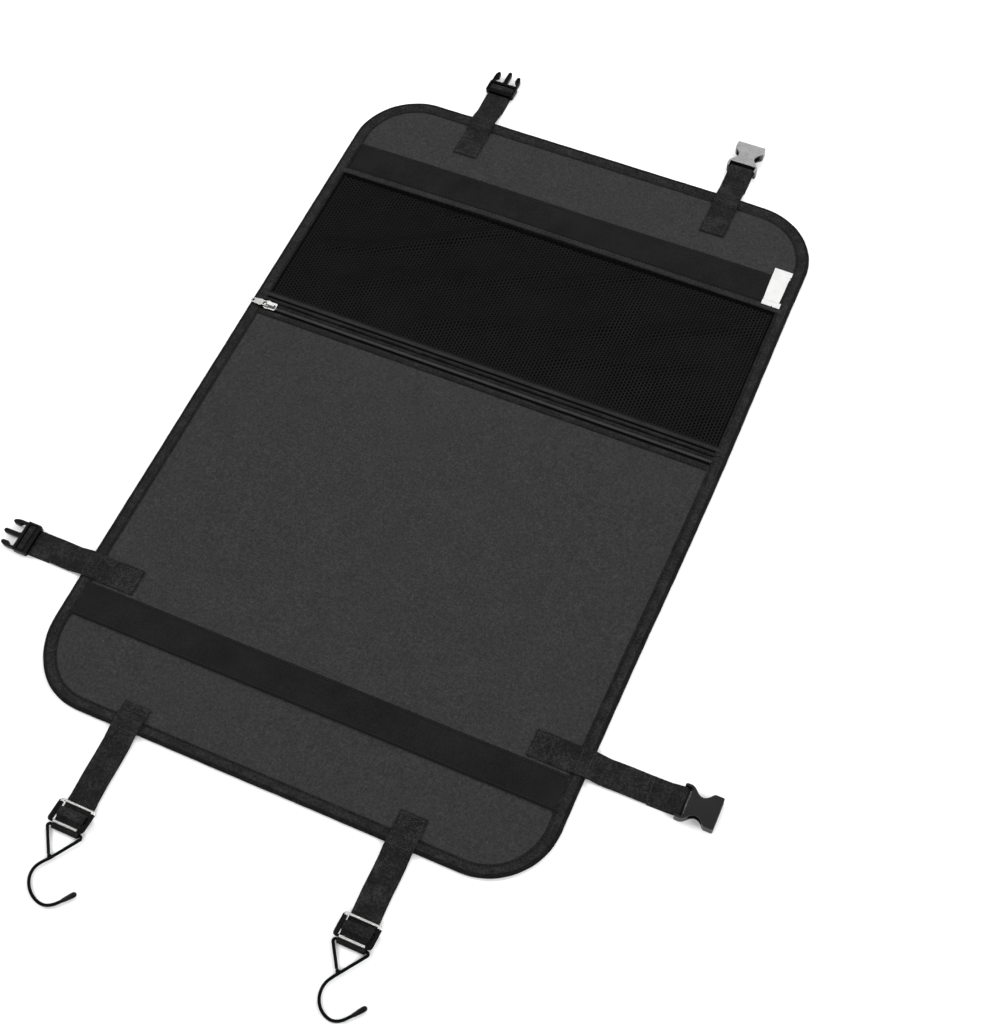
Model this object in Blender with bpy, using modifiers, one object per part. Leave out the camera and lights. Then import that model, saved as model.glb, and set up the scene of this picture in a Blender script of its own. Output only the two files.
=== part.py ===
"""Car seat back organizer (kick mat), lying face up: a bound cloth panel with a
mesh pocket, a zipped pocket, four buckle straps and two straps with wire hooks.

Lengths below are in millimetres on the mat's own grid, whose zero is the mat's
lower left corner on the floor. at() turns them into metres about the middle of
the whole outline. +X runs across the mat, +Y up it, +Z off the floor.
"""

import math

import bpy
import bmesh
from mathutils import Vector

MM = 0.001

# ---- the mat
MAT_W, MAT_H, CORNER = 460.0, 690.0, 60.0
MID_X, MID_Y = 241.8, 303.7         # middle of the whole outline on the grid
BINDING_W = 10.8                      # width of the tape on each face
RIM_TOP = 3.8                         # height of the bound rim
TAPE_T = 0.5                          # thickness of the binding tape

# heights of the cloth layers (bottom, top)
Z_BACK = (0.8, 1.4)
Z_POCKET = (1.7, 2.2)
Z_FRONT = (2.5, 3.0)

# rows across the mat, as heights above its lower edge
LOWER_BAND = (73.0, 105.0)
ZIP_PANEL = (75.0, 404.0)
ZIP_Y = 413.4
LOWER_TAPE = (403.0, 412.6)
UPPER_TAPE = (414.2, 424.0)
HEM = (424.3, 429.5)
MESH = (429.8, 582.2)
ELASTIC = (582.5, 589.5)
BACKING = (418.4, 621.0)
LABEL_X, LABEL_Y = (431.2, 448.6), (585.3, 629.4)

# ---- webbing
WEB_W, WEB_T = 24.0, 1.2
TOP_LEFT_X, TOP_RIGHT_X = 110.0, 363.0
SIDE_Y = 118.4
BOTTOM_LEFT_X, BOTTOM_RIGHT_X = 105.0, 350.0
GAP = 0.3

# ---- buckles
BUCKLE_HALF_W = 14.4
MALE_FRAME = (726.3, 740.4)           # along the top left strap
FEMALE_AXIS_TOP = 725.0               # end bar of the top right buckle
FEMALE_AXIS_SIDE = 535.9              # end bar of the side buckle
FEMALE_Z, FEMALE_LENGTH = 4.5, 29.7
BAR_R = 1.5

# ---- slides and hooks of the two lower straps
SLIDE_W, SLIDE_L, SLIDE_T = 33.0, 21.0, 2.2
SLIDE_LEFT_TOP, SLIDE_RIGHT_TOP = -68.3, -60.3
SLIDE_TILT = math.radians(9.7)        # its lower bar lies on the webbing round the hook
SLIDE_LOW = 3.0                       # height of its lowest edge, over the upper run
HOOK_LEFT_AXIS_Y, HOOK_RIGHT_AXIS_Y = -90.2, -82.0
HOOK_Z, WIRE_R = 2.9, 1.3
CAP_R = 2.2
# plan of each hook about its base bar: the bar's ends, the apex, then the J to its tip
HOOK_LEFT = [
    (-16.8, 0.0), (16.1, 0.0), (0.2, -24.0),
    (-4.0, -29.2), (-6.7, -33.9), (-7.4, -38.6), (-6.6, -43.4), (-4.2, -47.9), (-0.4, -52.1), (4.6, -55.4),
    (10.2, -57.2), (15.6, -57.2), (20.3, -55.1), (24.0, -51.8), (27.2, -47.9), (30.2, -44.1), (32.9, -40.7),
]
HOOK_RIGHT = [
    (-16.1, 0.0), (16.1, 0.0), (0.2, -22.4),
    (-3.1, -27.3), (-5.5, -32.0), (-6.3, -36.9), (-5.6, -42.2), (-3.5, -46.9), (0.1, -50.9), (4.8, -53.7),
    (9.9, -54.8), (14.6, -53.8), (18.7, -51.0), (22.0, -47.3), (24.9, -43.7), (27.6, -40.1), (29.9, -37.0),
]

# ---- zip slider
SLIDER_X = (13.6, 26.0)
PULL_AXIS_X, PULL_AXIS_Z = 17.6, 6.3
PULL_TILT = math.radians(4.5)


# ------------------------------------------------------------------ scene
for old in list(bpy.data.objects):
    bpy.data.objects.remove(old, do_unlink=True)

PARTS = bpy.data.collections.new("seat_back_organizer")
CUTTERS = bpy.data.collections.new("cutters")
bpy.context.scene.collection.children.link(PARTS)
bpy.context.scene.collection.children.link(CUTTERS)


def material(name, rgb, roughness, metallic=0.0):
    mat = bpy.data.materials.new(name)
    mat.use_nodes = True
    bsdf = mat.node_tree.nodes["Principled BSDF"]
    bsdf.inputs["Base Color"].default_value = (*rgb, 1.0)
    bsdf.inputs["Roughness"].default_value = roughness
    bsdf.inputs["Metallic"].default_value = metallic
    mat.diffuse_color = (*rgb, 1.0)
    return mat


GREY_OXFORD = material("grey_oxford", (0.040, 0.040, 0.040), 0.90)
BLACK_CLOTH = material("black_cloth", (0.014, 0.014, 0.014), 0.85)
BLACK_MESH = material("black_mesh", (0.009, 0.009, 0.009), 0.80)
TAPE_BLACK = material("binding_tape", (0.020, 0.020, 0.020), 0.85)
WEB_BLACK = material("webbing", (0.020, 0.020, 0.019), 0.80)
COIL_BLACK = material("zip_coil", (0.020, 0.020, 0.020), 0.45)
PLASTIC = material("black_plastic", (0.012, 0.012, 0.012), 0.30)
NICKEL = material("nickel", (0.62, 0.61, 0.59), 0.25, 1.0)
WIRE_BLACK = material("coated_wire", (0.012, 0.012, 0.012), 0.35)
LABEL_WHITE = material("label_white", (0.85, 0.85, 0.84), 0.60)


# ------------------------------------------------------------------ helpers
def at(x, y, z):
    return Vector(((x - MID_X) * MM, (y - MID_Y) * MM, z * MM))


def arc(cx, cy, r, a0, a1, n):
    """Points on a circle from angle a0 to a1 in degrees, both ends in."""
    return [
        (
            cx + r * math.cos(math.radians(a0 + (a1 - a0) * i / n)),
            cy + r * math.sin(math.radians(a0 + (a1 - a0) * i / n)),
        )
        for i in range(n + 1)
    ]


def rounded_rect(x0, y0, x1, y1, r, n=8):
    return (
        arc(x1 - r, y1 - r, r, 0, 90, n)
        + arc(x0 + r, y1 - r, r, 90, 180, n)
        + arc(x0 + r, y0 + r, r, 180, 270, n)
        + arc(x1 - r, y0 + r, r, 270, 360, n)
    )


def rect(x0, y0, x1, y1):
    return [(x0, y0), (x1, y0), (x1, y1), (x0, y1)]


def filleted(path, r, n=4):
    """The open polyline with each inner corner rounded to radius r."""
    out = [path[0]]
    for a, b, c in zip(path, path[1:], path[2:]):
        pa, pb, pc = Vector(a), Vector(b), Vector(c)
        u, v = (pa - pb).normalized(), (pc - pb).normalized()
        half = math.acos(max(-1.0, min(1.0, u.dot(v)))) / 2
        if half > math.radians(87):
            out.append(b)
            continue
        reach = min(r / math.tan(half), 0.49 * (pa - pb).length, 0.49 * (pc - pb).length)
        radius = reach * math.tan(half)
        centre = pb + (u + v).normalized() * (radius / math.sin(half))
        start, end = pb + u * reach - centre, pb + v * reach - centre
        turn = start.angle_signed(end)
        for i in range(n + 1):
            t = -turn * i / n
            out.append(
                (
                    centre.x + start.x * math.cos(t) - start.y * math.sin(t),
                    centre.y + start.x * math.sin(t) + start.y * math.cos(t),
                )
            )
    out.append(path[-1])
    return out


def band_outline(path, thickness):
    """A closed outline that follows the open path at half the thickness each side."""
    left, right = [], []
    for i, p in enumerate(path):
        here = Vector(p)
        before = (here - Vector(path[i - 1])).normalized() if i else None
        after = (Vector(path[i + 1]) - here).normalized() if i < len(path) - 1 else None
        d = (before or after) + (after or before)
        d = d.normalized()
        stretch = 1.0 / max(0.4, d.dot(after or before))
        normal = Vector((-d.y, d.x)) * (thickness / 2 * stretch)
        left.append(tuple(here + normal))
        right.append(tuple(here - normal))
    return left + right[::-1]


def put(obj, mat, collection=PARTS):
    obj.data.materials.append(mat)
    collection.objects.link(obj)
    return obj


def flat(name, loops, thickness, location, mat, turn=(0.0, 0.0, 0.0), collection=PARTS):
    """A flat outline with holes as a filled 2D curve. Loops are in mm about the location."""
    curve = bpy.data.curves.new(name, "CURVE")
    curve.dimensions = "2D"
    curve.fill_mode = "BOTH"
    curve.extrude = thickness / 2 * MM
    for loop in loops:
        spline = curve.splines.new("POLY")
        spline.points.add(len(loop) - 1)
        for point, (x, y) in zip(spline.points, loop):
            point.co = (x * MM, y * MM, 0.0, 1.0)
        spline.use_cyclic_u = True
    obj = bpy.data.objects.new(name, curve)
    obj.location = location
    obj.rotation_euler = turn
    return put(obj, mat, collection)


def wire(name, points, radius, location, mat, cyclic=False, resolution=2, collection=PARTS):
    """A round wire along points in mm about the location."""
    curve = bpy.data.curves.new(name, "CURVE")
    curve.dimensions = "3D"
    curve.bevel_depth = radius * MM
    curve.bevel_resolution = resolution
    curve.use_fill_caps = True
    spline = curve.splines.new("POLY")
    spline.points.add(len(points) - 1)
    for point, (x, y, z) in zip(spline.points, points):
        point.co = (x * MM, y * MM, z * MM, 1.0)
    spline.use_cyclic_u = cyclic
    obj = bpy.data.objects.new(name, curve)
    obj.location = location
    return put(obj, mat, collection)


def meshed(obj, smooth=None):
    """The curve object as a mesh object of the same name and place."""
    bpy.context.view_layer.update()
    graph = bpy.context.evaluated_depsgraph_get()
    mesh = bpy.data.meshes.new_from_object(obj.evaluated_get(graph))
    bm = bmesh.new()
    bm.from_mesh(mesh)
    bmesh.ops.remove_doubles(bm, verts=bm.verts, dist=1e-6)
    bmesh.ops.recalc_face_normals(bm, faces=bm.faces)
    bm.to_mesh(mesh)
    bm.free()
    name, matrix = obj.name, obj.matrix_world.copy()
    homes = list(obj.users_collection)
    bpy.data.objects.remove(obj, do_unlink=True)
    made = bpy.data.objects.new(name, mesh)
    made.matrix_world = matrix
    for home in homes:
        home.objects.link(made)
    if smooth:
        mesh.shade_smooth()
        mesh.set_sharp_from_angle(angle=math.radians(smooth))
    return made


def box(name, x0, y0, z0, x1, y1, z1, location, mat=PLASTIC, collection=CUTTERS, parent=None):
    """A block given by its corners in mm about the location."""
    mesh = bpy.data.meshes.new(name)
    bm = bmesh.new()
    bmesh.ops.create_cube(bm, size=1.0)
    size = Vector((x1 - x0, y1 - y0, z1 - z0)) * MM
    mid = Vector((x0 + x1, y0 + y1, z0 + z1)) * (MM / 2)
    bmesh.ops.scale(bm, vec=size, verts=bm.verts)
    bmesh.ops.translate(bm, vec=mid, verts=bm.verts)
    bm.to_mesh(mesh)
    bm.free()
    obj = bpy.data.objects.new(name, mesh)
    obj.location = location
    return put(obj, mat, collection)


def rod(name, radius, length, location, axis="X", sides=16, mat=PLASTIC, collection=CUTTERS):
    """A round bar centred on its location, along the X or Y axis."""
    mesh = bpy.data.meshes.new(name)
    bm = bmesh.new()
    bmesh.ops.create_cone(
        bm, cap_ends=True, segments=sides, radius1=radius * MM, radius2=radius * MM, depth=length * MM
    )
    bm.to_mesh(mesh)
    bm.free()
    obj = bpy.data.objects.new(name, mesh)
    obj.location = location
    obj.rotation_euler = (0.0, math.pi / 2, 0.0) if axis == "X" else (math.pi / 2, 0.0, 0.0)
    return put(obj, mat, collection)


def hide(tool):
    tool.hide_render = True
    tool.display_type = "WIRE"
    for home in list(tool.users_collection):
        home.objects.unlink(tool)
    CUTTERS.objects.link(tool)


def boolean(obj, tool, operation):
    hide(tool)
    mod = obj.modifiers.new(operation.lower() + "_" + tool.name, "BOOLEAN")
    mod.operation = operation
    mod.object = tool
    return obj


def softened(obj, width, segments=2, angle=40):
    """Rounded edges."""
    mod = obj.modifiers.new("edges", "BEVEL")
    mod.width = width * MM
    mod.segments = segments
    mod.limit_method = "ANGLE"
    mod.angle_limit = math.radians(angle)
    return obj


# ------------------------------------------------------------------ cloth
def layer(name, x0, x1, y, z, mat):
    """A rectangular sheet from x0 to x1 between two rows."""
    cx, cy = (x0 + x1) / 2, (y[0] + y[1]) / 2
    loop = rect(x0 - cx, y[0] - cy, x1 - cx, y[1] - cy)
    return flat(name, [loop], z[1] - z[0], at(cx, cy, (z[0] + z[1]) / 2), mat)


CX, CY = MAT_W / 2, MAT_H / 2


def rim(inset, n=12):
    return rounded_rect(inset - CX, inset - CY, CX - inset, CY - inset, CORNER - inset, n)


flat("back_panel", [rim(TAPE_T + 0.4)], Z_BACK[1] - Z_BACK[0], at(CX, CY, sum(Z_BACK) / 2), GREY_OXFORD)

# The binding is one tape folded round the rim: a ring with a channel cut into it.
binding = meshed(
    flat("edge_binding", [rim(0.0), rim(BINDING_W)], RIM_TOP, at(CX, CY, RIM_TOP / 2), TAPE_BLACK)
)
channel = meshed(
    flat(
        "binding_channel",
        [rim(TAPE_T), rim(BINDING_W + 6.0)],
        RIM_TOP - 2 * TAPE_T,
        at(CX, CY, RIM_TOP / 2),
        TAPE_BLACK,
        collection=CUTTERS,
    )
)
boolean(binding, channel, "DIFFERENCE")

IN = TAPE_T + 1.3
layer("zip_pocket_panel", IN, MAT_W - IN, ZIP_PANEL, Z_POCKET, GREY_OXFORD)
layer("pocket_backing", IN, MAT_W - IN, BACKING, Z_POCKET, BLACK_CLOTH)
layer("lower_band", IN, MAT_W - IN, LOWER_BAND, (Z_FRONT[0], Z_FRONT[0] + 0.4), BLACK_CLOTH)
layer("mesh_pocket", IN, MAT_W - IN, MESH, Z_FRONT, BLACK_MESH)
layer("mesh_hem", IN, MAT_W - IN, HEM, Z_FRONT, BLACK_CLOTH)
layer("zipper_tape_lower", IN, MAT_W - IN, LOWER_TAPE, (Z_FRONT[0], Z_FRONT[0] + 0.4), TAPE_BLACK)
layer("zipper_tape_upper", IN, MAT_W - IN, UPPER_TAPE, (Z_FRONT[0], Z_FRONT[0] + 0.4), TAPE_BLACK)

# Rolled edge of the pocket mouth, which stops at the binding on each side.
softened(
    meshed(
        flat(
            "pocket_top_elastic",
            [rounded_rect(-3.5, -0.85, 3.5, 0.85, 0.8, 3)],
            MAT_W - 2 * (BINDING_W + GAP),
            at(CX, sum(ELASTIC) / 2, Z_FRONT[0] + 0.85),
            BLACK_CLOTH,
            turn=(math.pi / 2, 0.0, math.pi / 2),
        ),
        smooth=40,
    ),
    0.1,
    1,
    60,
)

# The label lies over the end of the elastic and steps down to the panel above.
LABEL_T = 0.4
label_path = filleted(
    [
        (LABEL_Y[0], 4.7),
        (ELASTIC[1] + 0.9, 4.7),
        (ELASTIC[1] + 3.4, 2.7),
        (BACKING[1] + 0.7, 2.7),
        (BACKING[1] + 2.4, 1.9),
        (LABEL_Y[1], 1.9),
    ],
    0.8,
    3,
)
label_mid = sum(LABEL_Y) / 2
flat(
    "side_label",
    [band_outline([(s - label_mid, z) for s, z in label_path], LABEL_T)],
    LABEL_X[1] - LABEL_X[0],
    at(sum(LABEL_X) / 2, label_mid, 0.0),
    LABEL_WHITE,
    turn=(math.pi / 2, 0.0, math.pi / 2),
)


# ------------------------------------------------------------------ zip
COIL_X = (12.0, MAT_W - 12.5)
for coil, y0, y1 in (
    ("zipper_coil_lower", LOWER_TAPE[1] - 1.7, LOWER_TAPE[1]),
    ("zipper_coil_upper", UPPER_TAPE[0], UPPER_TAPE[0] + 1.7),
):
    flat(
        coil,
        [rounded_rect(-0.85, -0.5, 0.85, 0.5, 0.4, 3)],
        COIL_X[1] - COIL_X[0],
        at(sum(COIL_X) / 2, (y0 + y1) / 2, 3.7),
        COIL_BLACK,
        turn=(math.pi / 2, 0.0, math.pi / 2),
    )

# Slider: a top shell with two cheeks, a plate under the tapes, and the wedge
# between the coils that joins them. Its bridge holds the pull tab.
slider_mid = sum(SLIDER_X) / 2
half = (SLIDER_X[1] - SLIDER_X[0]) / 2
where = at(slider_mid, ZIP_Y, 0.0)


def slider_outline(w_front, w_back):
    """Plan of the slider, wider at the end that opens the zip."""
    return filleted(
        [
            (half, 0.0),
            (half, w_back),
            (-half * 0.1, w_back),
            (-half * 0.45, w_front),
            (-half, w_front * 0.78),
            (-half, -w_front * 0.78),
            (-half * 0.45, -w_front),
            (-half * 0.1, -w_back),
            (half, -w_back),
            (half, -0.01),
        ],
        1.4,
        3,
    )


slider = meshed(
    flat("zipper_slider", [slider_outline(4.6, 4.0)], 2.0, where + Vector((0, 0, 4.2 * MM)), NICKEL)
)
boolean(slider, box("slider_throat", -9, -2.9, 3.0, 9, 2.9, 4.5, where), "DIFFERENCE")
softened(slider, 0.45, 2, 60)
plate = meshed(
    flat("slider_plate", [slider_outline(4.3, 3.8)], 0.5, where + Vector((0, 0, 1.95 * MM)), NICKEL)
)
boolean(slider, plate, "UNION")
boolean(slider, box("slider_wedge", -half * 0.85, -0.42, 1.9, -half * 0.35, 0.42, 4.8, where), "UNION")
bridge = meshed(
    flat(
        "slider_bridge",
        [
            band_outline(
                filleted([(-3.9, 4.9), (-3.9, 7.6), (4.4, 7.6), (5.0, 4.9)], 1.3, 4), 0.8
            )
        ],
        2.2,
        where,
        NICKEL,
        turn=(math.pi / 2, 0.0, 0.0),
    )
)
boolean(slider, bridge, "UNION")

# Pull tab: the origin is on its cross bar under the bridge, and the tab reaches
# out over the binding to the mat's edge.
tab = meshed(
    flat(
        "zipper_pull",
        [
            filleted(
                [(0.7, 0.0), (0.7, 2.6), (-5.2, 2.6), (-7.0, 3.3), (-15.2, 2.6), (-17.2, 1.6),
                 (-17.2, -1.6), (-15.2, -2.6), (-7.0, -3.3), (-5.2, -2.6), (0.7, -2.6), (0.7, -0.01)],
                0.5,
                3,
            ),
            rounded_rect(-4.9, -1.6, -0.65, 1.6, 0.3, 3),
            arc(-14.9, 0.0, 1.1, 0, 337.5, 15),
        ],
        1.0,
        at(PULL_AXIS_X, ZIP_Y, PULL_AXIS_Z),
        NICKEL,
    )
)
tab.rotation_euler = (0.0, -PULL_TILT, 0.0)
softened(tab, 0.18, 1, 60)


# ------------------------------------------------------------------ straps
ON_BACK = Z_BACK[1] + GAP + WEB_T / 2        # lying on the back panel
ON_POCKET = Z_POCKET[1] + GAP + WEB_T / 2    # lying on the pocket panel
ON_RIM = RIM_TOP + GAP + WEB_T / 2           # lying on the binding
FLOOR_RUN = WEB_T / 2                        # lying on the floor
UPPER_RUN = WEB_T * 1.5 + GAP                # lying on its own tail


def strap(name, path, s_mid, across, direction, width=WEB_W):
    """Webbing along a path of (distance, height). direction is +Y, +X or -X of travel."""
    outline = band_outline([(s - s_mid, z) for s, z in path], WEB_T)
    if direction == "Y":
        return flat(name, [outline], width, at(across, s_mid, 0.0), WEB_BLACK,
                    turn=(math.pi / 2, 0.0, math.pi / 2))
    return flat(name, [outline], width, at(s_mid, across, 0.0), WEB_BLACK,
                turn=(math.pi / 2, 0.0, 0.0))


def ladder_end(start, s):
    """Webbing under the first bar, over the second and back under itself.
    start is the distance of the frame's outer edge and s the sign of travel."""
    return [
        (start + s * 5.4, UPPER_RUN),
        (start + s * 5.4, 5.3),
        (start + s * 10.6, 5.3),
        (start + s * 10.6, FLOOR_RUN),
        (start - s * 20.0, FLOOR_RUN),
    ]


def bar_loop(bar, radius, s, before, after, n=11):
    """Webbing that meets a round bar from before, turns round its far side and leaves for
    after. Points are (distance, height) and s is the sign of travel."""
    out = []
    angles = []
    for point, sense in ((before, -1.0), (after, 1.0)):
        dx, dz = (point[0] - bar[0]) * s, point[1] - bar[1]
        off = math.acos(radius / math.hypot(dx, dz))
        angles.append(math.atan2(dz, dx) % (2 * math.pi) + sense * off)
    start, end = angles[0], angles[1] - 2 * math.pi
    for i in range(n + 1):
        a = start + (end - start) * i / n
        out.append((bar[0] + s * radius * math.cos(a), bar[1] + radius * math.sin(a)))
    return out


# top left, with the male buckle
strap(
    "strap_top_left",
    filleted(
        [(643.5, ON_BACK), (674.5, ON_BACK), (679.0, ON_RIM), (691.5, ON_RIM), (701.0, UPPER_RUN)]
        + ladder_end(MALE_FRAME[0], 1.0),
        1.0,
    ),
    700.0,
    TOP_LEFT_X,
    "Y",
)

# top right, sewn round the end bar of the female buckle
LOOP_R = BAR_R + GAP + WEB_T / 2


def female_end(axis):
    """Webbing sewn round a female buckle's end bar, with its tail under it."""
    before, after = (axis - 12.3, UPPER_RUN), (axis - 12.3, FLOOR_RUN)
    return [before] + bar_loop((axis, FEMALE_Z), LOOP_R, 1.0, before, after) + [after, (axis - 25.0, FLOOR_RUN)]


strap(
    "strap_top_right",
    filleted(
        [(643.5, ON_BACK), (674.5, ON_BACK), (679.0, ON_RIM), (691.5, ON_RIM), (700.0, UPPER_RUN),
         (706.0, UPPER_RUN)],
        1.0,
    )
    + female_end(FEMALE_AXIS_TOP),
    690.0,
    TOP_RIGHT_X,
    "Y",
)

# lower left, with the other male buckle
SIDE_MALE = -52.0
strap(
    "strap_side_left",
    filleted(
        [(50.0, ON_POCKET), (15.0, ON_POCKET), (11.5, ON_RIM), (-1.5, ON_RIM), (-12.0, UPPER_RUN)]
        + ladder_end(SIDE_MALE, -1.0),
        1.0,
    ),
    0.0,
    SIDE_Y,
    "X",
)

# lower right, sewn round the end bar of the other female buckle
strap(
    "strap_side_right",
    filleted(
        [(410.0, ON_POCKET), (445.0, ON_POCKET), (448.5, ON_RIM), (461.5, ON_RIM), (472.0, UPPER_RUN),
         (500.0, UPPER_RUN)],
        1.0,
    )
    + female_end(FEMALE_AXIS_SIDE),
    480.0,
    SIDE_Y,
    "X",
)

# the two lower straps, through the slides and round the hooks' base bars
HOOK_LOOP_R = WIRE_R + GAP + 0.05 + WEB_T / 2


def slide_middle(top):
    """Distance and height of the middle of a slide whose upper edge is at top."""
    half_l, half_t = SLIDE_L / 2, SLIDE_T / 2
    rise = half_l * math.sin(SLIDE_TILT) + half_t * math.cos(SLIDE_TILT)
    reach = half_l * math.cos(SLIDE_TILT) + half_t * math.sin(SLIDE_TILT)
    return top - reach, SLIDE_LOW + rise


def lower_strap(name, x, sewn_top, slide_top, axis_y):
    middle, middle_z = slide_middle(slide_top)
    over = middle_z + (SLIDE_T / 2 + GAP + WEB_T / 2) / math.cos(SLIDE_TILT)
    slope = math.tan(SLIDE_TILT)
    before = (middle - 4.9, 4.9)
    after = (axis_y + 3.0, FLOOR_RUN)
    path = filleted(
        [
            (sewn_top, ON_BACK),
            (15.5, ON_BACK),
            (11.5, ON_RIM),
            (-1.5, ON_RIM),
            (-12.0, UPPER_RUN),
            (middle + 4.6, UPPER_RUN),
            (middle + 3.0, over - 3.0 * slope),
            (middle - 2.8, over + 2.8 * slope),
            before,
        ],
        0.9,
        3,
    )
    path += bar_loop((axis_y, HOOK_Z), HOOK_LOOP_R, -1.0, before, after)
    path += [after, (slide_top + 6.0, FLOOR_RUN)]
    return strap(name, path, -35.0, x, "Y")


lower_strap("strap_bottom_left", BOTTOM_LEFT_X, 23.0, SLIDE_LEFT_TOP, HOOK_LEFT_AXIS_Y)
lower_strap("strap_bottom_right", BOTTOM_RIGHT_X, 28.0, SLIDE_RIGHT_TOP, HOOK_RIGHT_AXIS_Y)


# ------------------------------------------------------------------ male buckles
def male_buckle(name, x, y, turn_z):
    """Frame with two slots and three prongs. The local +Y points from the strap to the tips,
    with zero at the frame's outer edge."""
    w = BUCKLE_HALF_W
    frame_l = MALE_FRAME[1] - MALE_FRAME[0]
    location = at(x, y, 0.0)

    def plan(z0, z1, loops, label, collection=PARTS):
        obj = flat(label, loops, z1 - z0, location + Vector((0, 0, (z0 + z1) / 2 * MM)), PLASTIC,
                   turn=(0.0, 0.0, turn_z), collection=collection)
        return meshed(obj)

    slot = WEB_W / 2 + 0.45
    body = plan(
        1.5,
        6.4,
        [
            rounded_rect(-w, 0.0, w, frame_l, 2.0, 4),
            rect(-slot, 3.6, slot, 6.4),
            rect(-slot, 9.6, slot, 11.6),
        ],
        name,
    )

    def block(label, x0, y0, z0, x1, y1, z1):
        obj = box(label, x0, y0, z0, x1, y1, z1, location)
        obj.rotation_euler = (0.0, 0.0, turn_z)
        return obj

    boolean(body, block(name + "_run", -slot, -1.0, 0.5, slot, 5.0, 3.0), "DIFFERENCE")
    boolean(body, block(name + "_over", -slot, 5.0, 4.3, slot, 11.0, 7.0), "DIFFERENCE")
    boolean(body, block(name + "_under", -slot, 9.0, 0.5, slot, 11.6, 1.6), "DIFFERENCE")
    root = frame_l - 0.6
    prongs = []
    for side in (-1.0, 1.0):
        prongs.append(
            filleted(
                [
                    (side * x_, root + y_)
                    for x_, y_ in (
                        (11.0, 0.0), (13.4, 0.0), (13.4, 6.2), (13.1, 9.6), (11.9, 12.7), (10.1, 13.3),
                        (8.8, 11.9), (8.6, 6.4), (11.1, 4.8), (11.4, 1.5), (10.9, 0.05)
                    )
                ],
                0.9,
                2,
            )
        )
    guide = [(-3.0, root), (3.0, root), (2.0, root + 2.6), (1.9, root + 14.6)] + arc(
        0.0, root + 14.6, 1.9, 0, 180, 6
    )[1:] + [(-2.0, root + 2.6)]
    for i, loop in enumerate(prongs + [guide]):
        prong = plan(2.0, 6.0, [loop], f"{name}_prong_{i}", CUTTERS)
        softened(prong, 0.45, 1, 60)
        boolean(body, prong, "UNION")
    return body


male_buckle("buckle_male_top", TOP_LEFT_X, MALE_FRAME[0], 0.0)
male_buckle("buckle_male_side", SIDE_MALE, SIDE_Y, math.pi / 2)


# ------------------------------------------------------------------ female buckles
def female_buckle(name, x, y, turn_z):
    """Socket with open sides and an end bar. The origin is on the end bar's axis and
    the local +Y points to the mouth."""
    w = BUCKLE_HALF_W
    location = at(x, y, FEMALE_Z)
    half_plan = [
        (w - 0.8, -2.0), (w, -0.8), (w, 3.2), (w - 0.8, 5.2), (w - 2.6, 7.4), (w - 5.0, 9.8),
        (w - 6.4, 12.2), (w - 6.6, 14.4), (w - 5.8, 16.8), (w - 3.8, 19.2), (w - 1.6, 20.8),
        (w - 0.7, 22.4), (w - 0.7, 28.9), (w - 1.5, FEMALE_LENGTH),
    ]
    outline = [(-px, py) for px, py in half_plan] + [(px, py) for px, py in half_plan[::-1]]
    body = meshed(
        flat(name, [outline, rect(-12.4, -3.0 + 1.2, 12.4, 4.4)], 2 * FEMALE_Z, location, PLASTIC,
             turn=(0.0, 0.0, turn_z))
    )

    def block(label, x0, y0, z0, x1, y1, z1):
        obj = box(label, x0, y0, z0, x1, y1, z1, location)
        obj.rotation_euler = (0.0, 0.0, turn_z)
        return obj

    # the open end of the frame round the bar
    boolean(body, block(name + "_end", -12.4, -4.0, -6.0, 12.4, -1.0, 6.0), "DIFFERENCE")
    # the socket, from the mouth inwards
    boolean(body, block(name + "_socket", -11.4, 8.4, -2.7, 11.4, 40.0, 2.7), "DIFFERENCE")
    softened(body, 0.8, 2, 50)
    bar = rod(name + "_bar", BAR_R, 2 * 12.9, location, "X", 16)
    bar.rotation_euler = (0.0, math.pi / 2, turn_z)
    boolean(body, bar, "UNION")
    return body


female_buckle("buckle_female_top", TOP_RIGHT_X, FEMALE_AXIS_TOP, 0.0)
female_buckle("buckle_female_side", FEMALE_AXIS_SIDE, SIDE_Y, -math.pi / 2)


# ------------------------------------------------------------------ metal slides
def strap_slide(name, x, top):
    """Three-bar slide: a rounded frame with two windows."""
    hw, length = SLIDE_W / 2, SLIDE_L
    side, bar, mid = 3.9, 2.4, 3.0
    middle, middle_z = slide_middle(top)
    obj = meshed(
        flat(
            name,
            [
                rounded_rect(-hw, -length / 2, hw, length / 2, 3.6, 5),
                rect(-hw + side, mid / 2, hw - side, length / 2 - bar),
                rect(-hw + side, -length / 2 + bar, hw - side, -mid / 2),
            ],
            SLIDE_T,
            at(x, middle, middle_z),
            NICKEL,
            turn=(-SLIDE_TILT, 0.0, 0.0),
        ),
        smooth=50,
    )
    return softened(obj, 0.75, 2, 50)


strap_slide("strap_slide_left", BOTTOM_LEFT_X - 0.4, SLIDE_LEFT_TOP)
strap_slide("strap_slide_right", BOTTOM_RIGHT_X, SLIDE_RIGHT_TOP)


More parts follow.
